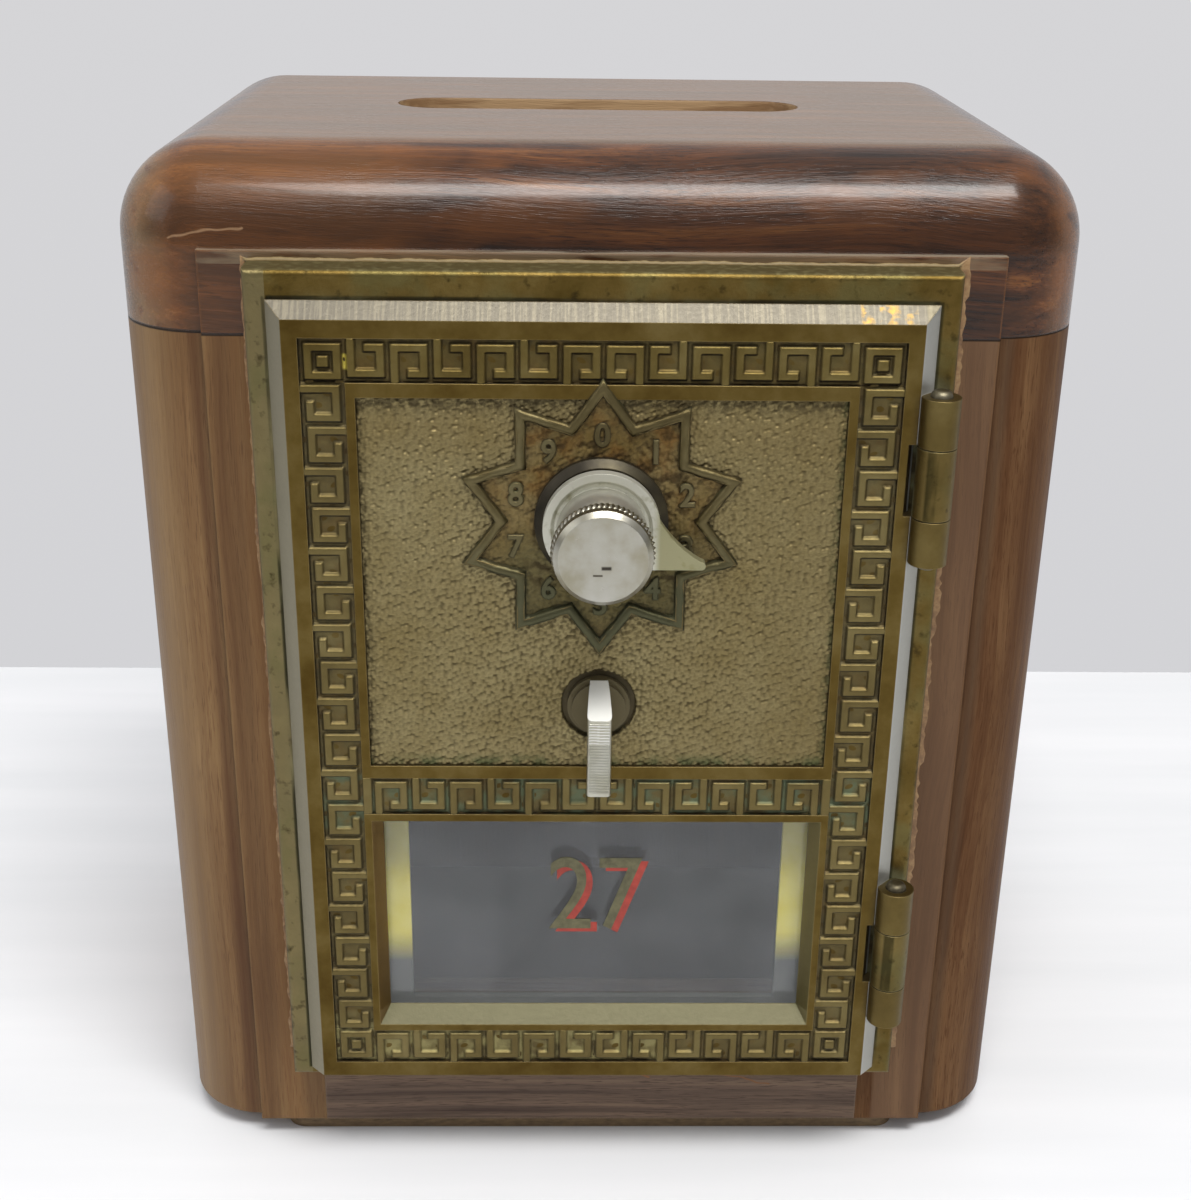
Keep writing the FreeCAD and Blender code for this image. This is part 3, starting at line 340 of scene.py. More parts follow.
def scratch(tree, place, start_mm, end_mm, width_mm):
    """A mask along the segment from start to end on the front, as (x, z): 1 on the line, 0 away from it."""
    start = np.array([start_mm[0], 0, start_mm[1]]) * MM
    run = np.array([end_mm[0], 0, end_mm[1]]) * MM - start
    shake = add(tree, "TexNoise", {"Scale": per(7), "Detail": 2}, {"Vector": place}).outputs["Color"]
    shaken = add(tree, "VectorMath", {"operation": "MULTIPLY_ADD", 1: (0.004,) * 3}, {0: shake, 2: place})
    on_front = add(tree, "VectorMath", {"operation": "MULTIPLY", 1: (1, 0, 1)}, {0: shaken})
    centred = add(tree, "VectorMath", {"operation": "SUBTRACT", 1: (start + [0.002, 0, 0.002]).tolist()},
                  {0: on_front})
    along = add(tree, "VectorMath", {"operation": "DOT_PRODUCT", 1: (run / (run @ run)).tolist()}, {0: centred})
    share = add(tree, "Clamp", links={"Value": along.outputs["Value"]})
    nearest = add(tree, "VectorMath", {"operation": "SCALE", 0: run.tolist()}, {"Scale": share})
    away = add(tree, "VectorMath", {"operation": "DISTANCE"}, {0: centred, 1: nearest}).outputs["Value"]
    line = add(tree, "MapRange", {"From Min": width_mm * MM, "From Max": 0.2 * width_mm * MM}, {"Value": away})
    front = within(tree, place, FRONT_HALF, 1.0)
    return add(tree, "Math", {"operation": "MULTIPLY"}, {0: line, 1: front})


LINE_SHARE = 0.45


def walnut(name, along, tones, bend_mm=3.0, figure=0.35, gloss=0.44, shine=0.2, coat=0.03, grain_mm=0.05,
           marks=(), scratches=()):
    """Oiled walnut with its grain along axis 0, 1 or 2, in tones from the darkest streak to the lightest. Bend
    says how far the grain wanders, figure how strongly broad patches show, shine and coat set the reflection, and
    grain_mm is the depth of the open grain."""
    material, tree, place = begin(name)
    slow = add(tree, "TexNoise", {"Scale": per(55), "Detail": 1}, {"Vector": place}).outputs["Color"]
    bent = add(tree, "VectorMath", {"operation": "MULTIPLY_ADD", 1: (bend_mm * MM,) * 3}, {0: slow, 2: place})
    layers = []
    for wide_mm, long_mm, detail in ((2.6, 80, 4), (0.55, 45, 3), (0.17, 3.8, 2), (17, 50, 2)):
        scale = np.full(3, per(wide_mm))
        scale[along] = per(long_mm)
        at = add(tree, "Mapping", {"Scale": scale.tolist()}, {"Vector": bent})
        layers.append(add(tree, "TexNoise", {"Scale": 1.0, "Detail": detail, "Roughness": 0.6}, {"Vector": at}))
    streak, line, pore, broad = layers
    figured = add(tree, "Math", {"operation": "MULTIPLY_ADD", 1: figure}, {0: broad, 2: streak})
    lined = add(tree, "Math", {"operation": "MULTIPLY_ADD", 1: LINE_SHARE}, {0: line, 2: figured})
    middle = 0.5 * (1 + figure + LINE_SHARE)
    spread = add(tree, "MapRange", {"From Min": middle - 0.24, "From Max": middle + 0.24}, {"Value": lined})
    tone = add(tree, "ValToRGB", {"stops": list(zip(np.linspace(0, 1, len(tones)), tones))}, {"Fac": spread})
    open_pore = add(tree, "MapRange", {"From Min": 0.55, "From Max": 0.66}, {"Value": pore})
    rounded, worn, corner = edges_and_corners(tree, 0.45, 1.5)
    tone = lay(tree, tone, tones[0], open_pore, 0.8)
    tone = lay(tree, tone, tones[-1], worn, 0.9)
    # painted shade: hollow corners of the wood are darkened nearly to black
    tone = lay(tree, tone, "#1d120b", corner, 0.85)
    tone, dusty = lay_marks(tree, place, tone, marks, corner)
    for start, end, width, colour in scratches:
        tone = lay(tree, tone, colour, scratch(tree, place, start, end, width))
    oiled = add(tree, "MapRange", {"To Min": gloss - 0.1, "To Max": gloss + 0.12}, {"Value": line})
    rough = add(tree, "Math", {"operation": "MULTIPLY_ADD", 1: 0.3, "use_clamp": True}, {0: dusty, 2: oiled})
    ridges = add(tree, "Math", {"operation": "ADD"}, {0: pore, 1: line})
    grain = add(tree, "Bump", {"Strength": 0.6, "Distance": grain_mm * MM}, {"Height": ridges, "Normal": rounded})
    wood = add(tree, "BsdfPrincipled", {"IOR": 1.5, "Specular IOR Level": shine, "Coat Weight": coat,
                                        "Coat Roughness": 0.14},
               {"Base Color": tone, "Roughness": rough, "Normal": grain})
    add(tree, "OutputMaterial", links={"Surface": wood})
    return material


def dress(material, *names):
    """Gives CAD nodes their finish."""
    for name in names:
        slots = nodes[name].data.materials
        slots.clear()
        slots.append(material)


print("walnut recipe ready")

# %% [markdown]
# The boards come from different trees. The top one is dark and lively, with orange patches; its flat face has lost
# its oil and is duller, and it is painted paler as painted sheen. The ledge over the frame is painted pale, as dust
# and as a painted highlight, and the lower half of the front rounding is darkened as painted shade. The left side
# is straight grained and light, the right one redder. Both have a dark line where the joint with the top board
# opened, and a dark band of painted shade beside the step that runs down the front.

# %% Finish the boards
top_low, top_high = (np.array(corner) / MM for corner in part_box("top_board"))
seam_z, top_z = top_low[2], top_high[2]
frame_low, frame_high = (np.array(corner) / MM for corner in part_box("door_frame"))
frame_half, frame_top = frame_high[0], frame_high[2]
WOOD_FRONT = -41.0
STEP_X = 50.8
LEDGE_Z = frame_top + 1.2
COIN_SLOT = {"X": (-29.7, 29.7), "Y": (1.4, 13.6), "Z": (seam_z - 1, top_z - 0.02)}
GAP_BROWN = "#140c07"


def joint_line(low_mm, high_mm):
    """The dark open joint between the top board and the sides."""
    return Mark(GAP_BROWN, 0.95, {"Z": (low_mm, high_mm)}, 0.12)


def step_band(side, colour):
    """Painted shade: the dark band just outside the step, on the left (-1) or the right (1)."""
    inner, outer = STEP_X + 0.1, STEP_X + 2.8
    return Mark(colour, 0.7, {"X": (inner, outer) if side > 0 else (-outer, -inner), "Y": (-42, -33)}, 1.3)


TOP_MARKS = [
    # the flat top is made duller from lost oil, and paler as painted sheen
    Mark("#856640", 0.46, {"Z": (top_z - 0.35, top_z + 5)}, 0.35, dull=0.3),
    # painted highlight and dust: the upward face of the ledge is made pale
    Mark("#a89c88", 0.6, {"Z": (LEDGE_Z - 0.5, LEDGE_Z + 0.3)}, 0.05, (2.0, 0.9, (8, 1, 1)), face=("Z", 1.0), dull=0.8),
    Mark("#948463", 0.5, {"X": (-64, -54.0)}, 6.0, (2.5, 1.2, (1, 5, 1))),
    Mark("#84562c", 0.5, {"X": (-66, -20), "Y": (-44, -26)}, 10.0),
    Mark("#6b4520", 0.6, {"X": (56.0, 64)}, 3.0, (2.5, 1.0, (1, 5, 1))),
    Mark("#7d4a1e", 0.45, {"X": (-62, 62), "Y": (-42, -27)}, 3.0, (8.0, 0.35, (2.4, 1, 1))),
    Mark("#8f7050", 1.0, COIN_SLOT, dull=0.5),
    Mark("#bb9c76", 0.8, COIN_SLOT, patch=(2.2, 0.6, (9, 1, 1))),
    # painted shade: the lower half of the front rounding, which turns away from the lamp, is darkened
    Mark("#2b180b", 0.5, {"Y": (-44, -36), "Z": (LEDGE_Z, top_z - 5)}, 2.0),
    Mark("#8a7a60", 0.42, {"Y": (-41.5, -40.5), "Z": (frame_top - 0.5, LEDGE_Z + 0.1)}, 0.05, (2.0, 0.8, (6, 1, 1)), dull=0.5),
    joint_line(seam_z - 0.05, seam_z + 0.2),
]
LEFT_MARKS = [
    step_band(-1, "#4b2d16"),
    Mark("#4e3118", 0.75, {"X": (-50.9, -46.6), "Y": (-42, -40.5)}, 1.5),
    Mark("#94683a", 0.85, {"X": (-48.0, -43), "Y": (-42, -40.5)}, 1.8, (3, 0.9, (1, 1, 20))),
    Mark("#8d7350", 0.55, {"X": (-64, -54.5)}, 5.0),
    joint_line(seam_z - 0.35, seam_z + 0.1),
]
RIGHT_MARKS = [
    step_band(1, "#513f2f"),
    Mark("#4d3219", 0.4, {"X": (54.0, 64)}, 5.0),
    Mark("#725c4a", 0.5, {"X": (43, 50.9), "Y": (-42, -40.5)}, 0.5),
    joint_line(seam_z - 0.25, seam_z + 0.1),
]
TOP_TONES = ["#1e0f06", "#371e0c", "#522e14", "#744820"]
LEFT_TONES = ["#5d4025", "#6b4e2f", "#775a39", "#866944"]
RIGHT_TONES = ["#482d19", "#593c25", "#674a30", "#76583b"]
RAIL_TONES = ["#433228", "#5d4b3e", "#705b4b", "#806a56"]
RAIL_SCRATCHES = [((-1.0, 13.6), (9.0, 11.4), 0.22, "#8a5c38"), ((15.0, 12.6), (27.0, 9.0), 0.2, "#845834")]
TOP_SCRATCHES = [((-54.5, 138.2), (-45.0, 140.4), 0.22, "#84664a")]
dress(walnut("oiled_walnut_top", 0, TOP_TONES, 9.0, 0.5, 0.24, 0.2, 0.36, 0.09, TOP_MARKS, TOP_SCRATCHES),
      "top_board")
dress(walnut("oiled_walnut_left", 2, LEFT_TONES, marks=LEFT_MARKS), "left_side")
dress(walnut("oiled_walnut_right", 2, RIGHT_TONES, 6.0, 0.5, shine=0.06, coat=0.0, marks=RIGHT_MARKS), "right_side")
dress(walnut("oiled_walnut_rail", 0, RAIL_TONES, scratches=RAIL_SCRATCHES), "bottom_rail")
# painted shade: the inside face of the back board is made nearly black, as the inside of the box lies in shadow
BACK_INSIDE_SHADE = [Mark("#22180f", 0.8, face=("Y", -1.0), dull=0.8)]
dress(walnut("oiled_walnut_back", 2, LEFT_TONES, 6.0, 0.5, 0.5, marks=BACK_INSIDE_SHADE), "back_panel")
print("walnut on", [n for n in nodes if nodes[n].data.materials[0].name.startswith("oiled")])

# %% [markdown]
# ## Plain woods inside and under the box
# The base is a thin sheet of pressed hardboard: dark, matt and full of short fibres. The dowels are pale turned beech.

# %% Hardboard and beech
def fibre_wood(name, tones, fibre_mm, gloss, marks=()):
    """Short fibres: noise that is a little longer one way, read as two or three browns."""
    material, tree, place = begin(name)
    lie = add(tree, "Mapping", {"Scale": (per(fibre_mm * 4), per(fibre_mm), per(fibre_mm))}, {"Vector": place})
    fibres = add(tree, "TexNoise", {"Scale": 1.0, "Detail": 5, "Roughness": 0.65}, {"Vector": lie})
    stops = list(zip(np.linspace(0.3, 0.72, len(tones)), tones))
    tone = add(tree, "ValToRGB", {"stops": stops}, {"Fac": fibres})
    tone, _ = lay_marks(tree, place, tone, marks, fibres)
    felted = add(tree, "Bump", {"Strength": 0.4, "Distance": 0.05 * MM}, {"Height": fibres})
    board = add(tree, "BsdfPrincipled", {"Roughness": gloss}, {"Base Color": tone, "Normal": felted})
    add(tree, "OutputMaterial", links={"Surface": board})
    return material


# painted shade: the upper face of the base, inside the box, is made nearly black
INSIDE_SHADE = Mark("#1d150e", 0.8, face=("Z", 1.0))
dress(fibre_wood("pressed_hardboard", ["#513f28", "#6e593d", "#836b48"], 0.5, 0.6, [INSIDE_SHADE]), "base_panel")
dress(fibre_wood("turned_beech", ["#a9825a", "#c9a377", "#d6b48a"], 0.3, 0.5), "top_dowels", "rail_dowels")
print("plain woods done")

# %% [markdown]
# ## Old brass
# The frame and the door are sand-cast brass that has darkened to olive brown. Raised edges are rubbed back to
# yellow metal, corners hold brown dirt, and in damp places the copper has gone green. Clean metal keeps its
# metallic shine, while dirt and verdigris are dull crusts, so the metallic share drops where they lie. Faces that
# look down are darkened as painted shade, as under a light from above.

# %% Brass finish
GRIT_MM = 0.55


def aged_brass(name, tones, dirt_and_shade, bright, marks=(), rough=0.42, relief=0.0, under=0.0, corner_mm=1.6, wear=0.6,
               soft_mm=0.22, sand_mm=0.06):
    """Cast brass. Tones run dark to light over cloudy patches. Relief reads the piece's own relief attribute and
    darkens its low places, and under paints shade in the dark colour on what looks down, as under a light from
    above. Edges are softened by soft_mm, and sand_mm is the depth of the grain that the mould left."""
    material, tree, place = begin(name)
    cloud = add(tree, "TexNoise", {"Scale": per(9), "Detail": 5, "Roughness": 0.65}, {"Vector": place})
    tone = add(tree, "ValToRGB", {"stops": list(zip(np.linspace(0.32, 0.7, len(tones)), tones))}, {"Fac": cloud})
    grit = add(tree, "TexNoise", {"Scale": per(GRIT_MM), "Detail": 3, "Roughness": 0.6}, {"Vector": place})
    ragged = add(tree, "MapRange", {"From Min": 0.35, "From Max": 0.65, "To Min": 0.55, "To Max": 1.0},
                 {"Value": grit})
    rounded, worn, corner = edges_and_corners(tree, soft_mm, corner_mm)
    low = sunk = corner
    if relief:
        raised = add(tree, "Attribute", {"attribute_name": "relief"}).outputs["Fac"]
        low = add(tree, "Math", {"operation": "SUBTRACT", 0: 1.0}, {1: raised})
        shallow = add(tree, "Math", {"operation": "MULTIPLY", 1: relief}, {0: low})
        sunk = add(tree, "Math", {"operation": "MAXIMUM"}, {0: corner, 1: shallow})
    grime = add(tree, "Math", {"operation": "MULTIPLY"}, {0: sunk, 1: ragged})
    tone = lay(tree, tone, dirt_and_shade, grime)
    # painted shade: faces that look down are darkened, as under a light from above
    if under:
        lean = add(tree, "SeparateXYZ", links={"Vector": add(tree, "NewGeometry").outputs["Normal"]}).outputs["Z"]
        down = add(tree, "MapRange", {"From Min": -0.12, "From Max": -0.6}, {"Value": lean})
        tone = lay(tree, tone, dirt_and_shade, down, under)
    tone, crust = lay_marks(tree, place, tone, marks, low)
    tone = lay(tree, tone, bright, worn, wear)
    matt = add(tree, "Math", {"operation": "MAXIMUM"}, {0: grime, 1: crust})
    metal_share = add(tree, "MapRange", {"To Min": 1.0, "To Max": 0.3}, {"Value": matt})
    shine = add(tree, "MapRange", {"To Min": rough - 0.05, "To Max": rough + 0.12}, {"Value": grit})
    dull = add(tree, "Math", {"operation": "MULTIPLY_ADD", 1: 0.25}, {0: matt, 2: shine})
    cast = add(tree, "Bump", {"Strength": 0.45, "Distance": sand_mm * MM}, {"Height": grit, "Normal": rounded})
    brass = add(tree, "BsdfPrincipled", links={"Base Color": tone, "Metallic": metal_share,
                                                "Roughness": dull, "Normal": cast})
    add(tree, "OutputMaterial", links={"Surface": brass})
    return material


print("brass grit is", GRIT_MM, "mm")

# %% [markdown]
# On the frame the patina is uneven: grey-green clouds, dark specks, and a pale crust on its upper edge. On the door
# the sloping borders were filed bright, the top one with marks of the file across it. Inside the star the metal is
# orange brown above and greenish below, the lever's dish is nearly black, and the sill under the window is pale.

# %% Finish the frame, the door and the pins
SLOPE = 0.71
bevel_head = {"Z": (door_head - 2.2, door_head + 1)}
BEVEL_MARKS = [
    Mark("#635f56", 0.95, bevel_head, face=("Z", SLOPE)),
    Mark("#857e6c", 0.35, bevel_head, patch=(0.4, 0.5, (1, 25, 25)), face=("Z", SLOPE)),
    Mark("#a98640", 0.75, {"X": (31.5, 38.8), "Z": bevel_head["Z"]}, 0.4, (1.5, 0.5), face=("Z", SLOPE)),
    Mark("#8a8573", 0.9, {"X": (-door_half - 1, -door_half + 2.2)}, face=("X", -SLOPE)),
    Mark("#b0b1ae", 0.95, {"X": (door_half - 2.2, door_half + 0.05)}, face=("X", SLOPE)),
]
KNUCKLE_WEAR = Mark("#7d7350", 0.2, {"X": (39.6, 45), "Y": (-52, -46.3)}, 0.3)
GLAZED = {"Z": (door_foot + 8.8, door_foot + 43.2)}
DOOR_MARKS = BEVEL_MARKS + [
    Mark("#5c5238", 0.95, {"X": (-19, 19), "Y": (-49.3, -48.75), "Z": (dial_z - 19, dial_z + 19)}),
    Mark("#554c36", 0.9, {"X": (-5.1, 5.1), "Y": (-48.2, -47.0), "Z": (lever_z - 5.1, lever_z + 5.1)}),
    Mark("#68654e", 0.95, {"X": (-31, 31), "Y": (-48.68, -46.3), "Z": (door_foot + 8.8, door_foot + 11.4)}, dull=0.4),
    Mark("#565a3e", 0.6, {"X": (-31, 31), "Z": (door_foot + 8.8, door_foot + 11.4)}, patch=(2.5, 0.3), low=True),
    Mark("#83683c", 0.8, {"X": (-31.2, -29.4), **GLAZED}, face=("X", 0.85)),
    Mark("#7f7650", 0.8, {"X": (29.4, 31.2), **GLAZED}, face=("X", -0.85)),
    Mark("#3d4629", 0.5, {"Z": (26, 75)}, patch=(7.0, 0.45), low=True, dull=0.6),
    KNUCKLE_WEAR,
]
GAP_GREEN = "#1d1e10"
DOOR_RISE = {"Z": (door_foot - 0.5, door_head + 0.4)}
FRAME_MARKS = [
    # painted light: the frame's left strip is made lighter and greyer, where the light falls on it
    Mark("#878062", 0.45, {"X": (-46, -door_half)}),
    KNUCKLE_WEAR,
    Mark("#66623e", 0.5, patch=(7.0, 0.5)),
    Mark("#332a16", 0.75, patch=(1.5, 0.1)),
    Mark("#94946f", 0.6, patch=(5.0, 0.5), low=True, dull=0.6),
    Mark("#564c2a", 0.8, {"Z": (frame_top - 0.6, frame_top + 0.5)}, face=("Z", 1.0), dull=0.6),
    Mark("#7a714c", 0.6, {"Z": (frame_top - 0.6, frame_top + 0.5)}, 0.05, (1.1, 0.4), face=("Z", 1.0), dull=0.7),
    Mark(GAP_GREEN, 0.85, {"X": (-door_half - 0.6, -door_half + 1), **DOOR_RISE}, 0.25, (3.0, 0.8, (1, 1, 6))),
    Mark(GAP_GREEN, 0.7, {"X": (door_half - 1, door_half + 0.6), **DOOR_RISE}, 0.25, (3.0, 0.8, (1, 1, 6))),
    Mark(GAP_GREEN, 0.7, {"X": (-door_half, door_half), "Z": (door_head - 1, door_head + 0.5)}, 0.2,
         (3.0, 0.7, (6, 1, 1))),
]
DOOR_TONES = ["#503f1b", "#604f27", "#6f5f37"]
FRAME_TONES = ["#53431d", "#66542b", "#76653a"]
door_brass = aged_brass("cast_brass_door", DOOR_TONES, "#251b0d", "#96855a", DOOR_MARKS, under=0.5)
frame_brass = aged_brass("cast_brass_frame", FRAME_TONES, "#2b220f", "#9c8f66", FRAME_MARKS, corner_mm=2.2,
                         sand_mm=0.13)
pin_brass = aged_brass("dull_brass_pins", ["#494337", "#69624f", "#8a8470"], "#20180c", "#a09a86")
dress(door_brass, "door_panel")
dress(frame_brass, "door_frame")
dress(pin_brass, "hinge_pins")
print("brass on the door, its frame and the pins")

# %% [markdown]
# ## Metals of the lock
# The dial knob and the lever are nickel plate, worn a little yellow. The lock behind the door is sheet brass that
# has stayed clean, its spindles and screws are plated steel, and the two bushes are blackened bronze.

# %% Plate, steel and bronze
def worn_plate(name, tones, rough, scuff_mm, haze=0.0, marks=()):
    """A plated or rolled metal: tarnish in soft patches, and fine scuffs that spread the highlight."""
    material, tree, place = begin(name)
    tarnish = add(tree, "TexNoise", {"Scale": per(4), "Detail": 4}, {"Vector": place})
    tone = add(tree, "ValToRGB", {"stops": list(zip(np.linspace(0.3, 0.7, len(tones)), tones))}, {"Fac": tarnish})
    scuff = add(tree, "TexNoise", {"Scale": per(scuff_mm), "Detail": 4, "Roughness": 0.7}, {"Vector": place})
    rounded, worn, corner = edges_and_corners(tree, 0.15, 1.0)
    tone = lay(tree, tone, "#3a301c", corner, 0.3)
    tone = lay(tree, tone, tones[-1], worn, 0.7)
    tone, gone = lay_marks(tree, place, tone, marks, corner)
    polished = add(tree, "MapRange", {"To Min": rough - 0.06, "To Max": rough + 0.12}, {"Value": scuff})
    shine = add(tree, "Math", {"operation": "MULTIPLY_ADD", 1: 0.3}, {0: gone, 2: polished})
    fine = add(tree, "Bump", {"Strength": 0.25, "Distance": 0.02 * MM}, {"Height": scuff, "Normal": rounded})
    metal_share = add(tree, "MapRange", {"To Min": 1.0 - haze, "To Max": 0.2}, {"Value": gone})
    metal = add(tree, "BsdfPrincipled", links={"Base Color": tone, "Metallic": metal_share, "Roughness": shine,
                                                "Normal": fine})
    add(tree, "OutputMaterial", links={"Surface": metal})
    return material


knob_low, knob_high = (np.array(corner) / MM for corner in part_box("dial_knob"))
lever_low, lever_high = (np.array(corner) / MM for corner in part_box("latch_lever"))
SKIRT_FRONT = knob_high[1] - 2.2
KNOB_FACE = (knob_low[1] - 0.2, knob_low[1] + 0.2)
KNOB_MARKS = [
    Mark("#c3c2b5", 0.9, {"Y": (SKIRT_FRONT, knob_high[1] + 1)}, 0.3, dull=0.65),
    Mark("#928e6a", 0.95, {"X": (6.5, 20), "Y": (SKIRT_FRONT - 1, knob_high[1] + 2)}, 1.0, dull=0.6),
    Mark("#7a7448", 0.6, {"Y": (SKIRT_FRONT, knob_high[1] + 1)}, 0.3, (1.8, 0.12)),
    # painted highlight: the knob's neck is made near white, for the shine a flared neck catches from above
    Mark("#d9d8d0", 0.75, {"Y": (knob_low[1] + 3.6, SKIRT_FRONT)}, 0.2, dull=0.2),
    Mark("#2b2316", 1.0, {"X": (-0.3, 1.1), "Y": KNOB_FACE, "Z": (dial_z - 1.4, dial_z - 0.75)}, 0.2, dull=1.0),
    Mark("#393020", 1.0, {"X": (-1.3, 0.0), "Y": KNOB_FACE, "Z": (dial_z - 2.2, dial_z - 1.85)}, 0.12, dull=1.0),
]
LEVER_MARKS = [
    Mark("#5c533a", 1.0, {"Y": (-49.7, -40)}, 0.2, dull=0.5),
    # painted highlight: the lever's upward top face is made near white and matt
    Mark("#cfcfca", 0.95, {"Y": (-57, -49.4), "Z": (lever_z - 2, lever_z + 6)}, 0.3, face=("Z", 0.8, 0.45), dull=0.9),
]
nickel = worn_plate("worn_nickel_plate", ["#97927f", "#a8a599", "#b2b0a7"], 0.28, 0.6, marks=KNOB_MARKS)
dress(nickel, "dial_knob")
lever_plate = worn_plate("nickel_on_brass_lever", ["#a9a693", "#b7b5a7", "#c2c1b6"], 0.3, 0.6, marks=LEVER_MARKS)
dress(lever_plate, "latch_lever")
steel = worn_plate("zinc_plated_steel", ["#84817b", "#96948f", "#a5a39f"], 0.36, 0.5)
dress(steel, "bottom_screws", "frame_screws", "retainer_screws", "case_screws",
      "dial_spindle", "lever_spindle", "dial_clip")
sheet_brass = worn_plate("sheet_brass", ["#97793f", "#a98a4c", "#b99a5b"], 0.32, 0.8)
dress(sheet_brass, "lock_case", "drive_wheel", "middle_wheel", "front_wheel", "spacer_washers",
      "crank_disc", "bush_nuts", "guide_post", "latch_bolt", "fence_bar")
bronze = worn_plate("blackened_bronze", ["#26221a", "#353025", "#46402f"], 0.4, 0.7, haze=0.3)
dress(bronze, "dial_bush")
dull_bronze = worn_plate("dull_bronze", ["#564c34", "#665b40", "#736849"], 0.45, 0.7, haze=0.5)
dress(dull_bronze, "lever_bush")
print("plated metals done")

# %% [markdown]
# ## Glass and the painted clips behind it
# The pane is ordinary window glass. It looks blue grey because it mirrors the bright table over a dark inside,
# so it needs no colour, only a little dust. The frame that holds it from behind is painted cream, which turns
# to grey towards its foot.

# %% Glass and cream paint
def window_pane():
    """Clear glass with a thin uneven film of dust, which scatters a little light. Light from the lamps passes
    straight through, so that what lies behind the pane is lit."""
    material, tree, place = begin("dusty_window_glass")
    film = add(tree, "TexNoise", {"Scale": per(8), "Detail": 4}, {"Vector": place})
    clean = add(tree, "MapRange", {"From Min": 0.35, "From Max": 0.75, "To Min": 0.985, "To Max": 0.95},
                {"Value": film})
    pane = add(tree, "BsdfPrincipled", {"Base Color": "#e6e9ec", "Roughness": 0.03, "IOR": 1.52},
               {"Transmission Weight": clean})
    passing = add(tree, "BsdfTransparent", {"Color": "#f2f4f5"})
    lamp_ray = add(tree, "LightPath").outputs["Is Shadow Ray"]
    either = add(tree, "MixShader", links={0: lamp_ray, 1: pane, 2: passing})
    add(tree, "OutputMaterial", links={"Surface": either})
    return material


def cream_paint(foot_mm, head_mm):
    """Old gloss paint: cream above, grey below the given heights, brushed unevenly."""
    material, tree, place = begin("old_cream_paint")
    height = add(tree, "SeparateXYZ", links={"Vector": place}).outputs["Z"]
    clean = add(tree, "MapRange", {"From Min": foot_mm * MM, "From Max": head_mm * MM}, {"Value": height})
    brush = add(tree, "TexNoise", {"Scale": per(3), "Detail": 4}, {"Vector": place})
    cream = add(tree, "ValToRGB", {"stops": [(0.35, "#efdb42"), (0.65, "#f8e76e")]}, {"Fac": brush})
    tone = add(tree, "MixRGB", {"Color1": "#4a4a42"}, {"Fac": clean, "Color2": cream})
    paint = add(tree, "BsdfPrincipled", {"Roughness": 0.4}, {"Base Color": tone})
    add(tree, "OutputMaterial", links={"Surface": paint})
    return material


glass_low, glass_high = (np.array(corner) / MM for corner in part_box("window_glass"))
dress(window_pane(), "window_glass")
dress(cream_paint(glass_low[2] + 8, glass_low[2] + 13), "glass_retainer")
print("pane", np.round(glass_high - glass_low, 1).tolist(), "mm")

# %% [markdown]
# ## Meshes from grids
# The relief on the door is made as a patternmaker would carve it: a slab whose front is a height over a flat grid.
# One function closes such a slab with walls and a back. Whole arrays go into the mesh at once.

# %% Slab helper
def put_mesh(name, points_mm, quads, triangles, smooth, material, body, relief=None):
    """A mesh object from arrays of points, four-sided and three-sided faces. It rides on a body of the frame."""
    mesh = bpy.data.meshes.new(name)
    corners = np.concatenate([np.ravel(quads), np.ravel(triangles)]).astype(np.int32)
    sides = np.concatenate([np.full(len(quads), 4), np.full(len(triangles), 3)]).astype(np.int32)
    mesh.vertices.add(len(points_mm))
    mesh.vertices.foreach_set("co", (np.asarray(points_mm) * MM).astype(np.float32).ravel())
    mesh.loops.add(len(corners))
    mesh.loops.foreach_set("vertex_index", corners)
    mesh.polygons.add(len(sides))
    mesh.polygons.foreach_set("loop_start", np.concatenate([[0], np.cumsum(sides)[:-1]]).astype(np.int32))
    mesh.polygons.foreach_set("use_smooth", np.broadcast_to(smooth, len(sides)).astype(bool))
    if relief is not None:
        height = mesh.attributes.new("relief", "FLOAT", "POINT")
        height.data.foreach_set("value", np.asarray(relief).astype(np.float32).ravel())
    mesh.materials.append(material)
    mesh.update(calc_edges=True)
    mesh.validate()
    piece = bpy.data.objects.new(name, mesh)
    bpy.context.scene.collection.objects.link(piece)
    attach(piece, body)
    return piece


def grid_quads(rows, columns, wrap_rows=False, wrap_columns=False):
    """Faces of a grid of points, row by row. A wrap joins the last row or column to the first."""
    row, column = np.meshgrid(np.arange(rows - (not wrap_rows)), np.arange(columns - (not wrap_columns)),
                              indexing="ij")
    below, after = (row + 1) % rows, (column + 1) % columns
    faces = [row * columns + column, row * columns + after, below * columns + after, below * columns + column]
    return np.stack(faces, -1).reshape(-1, 4)


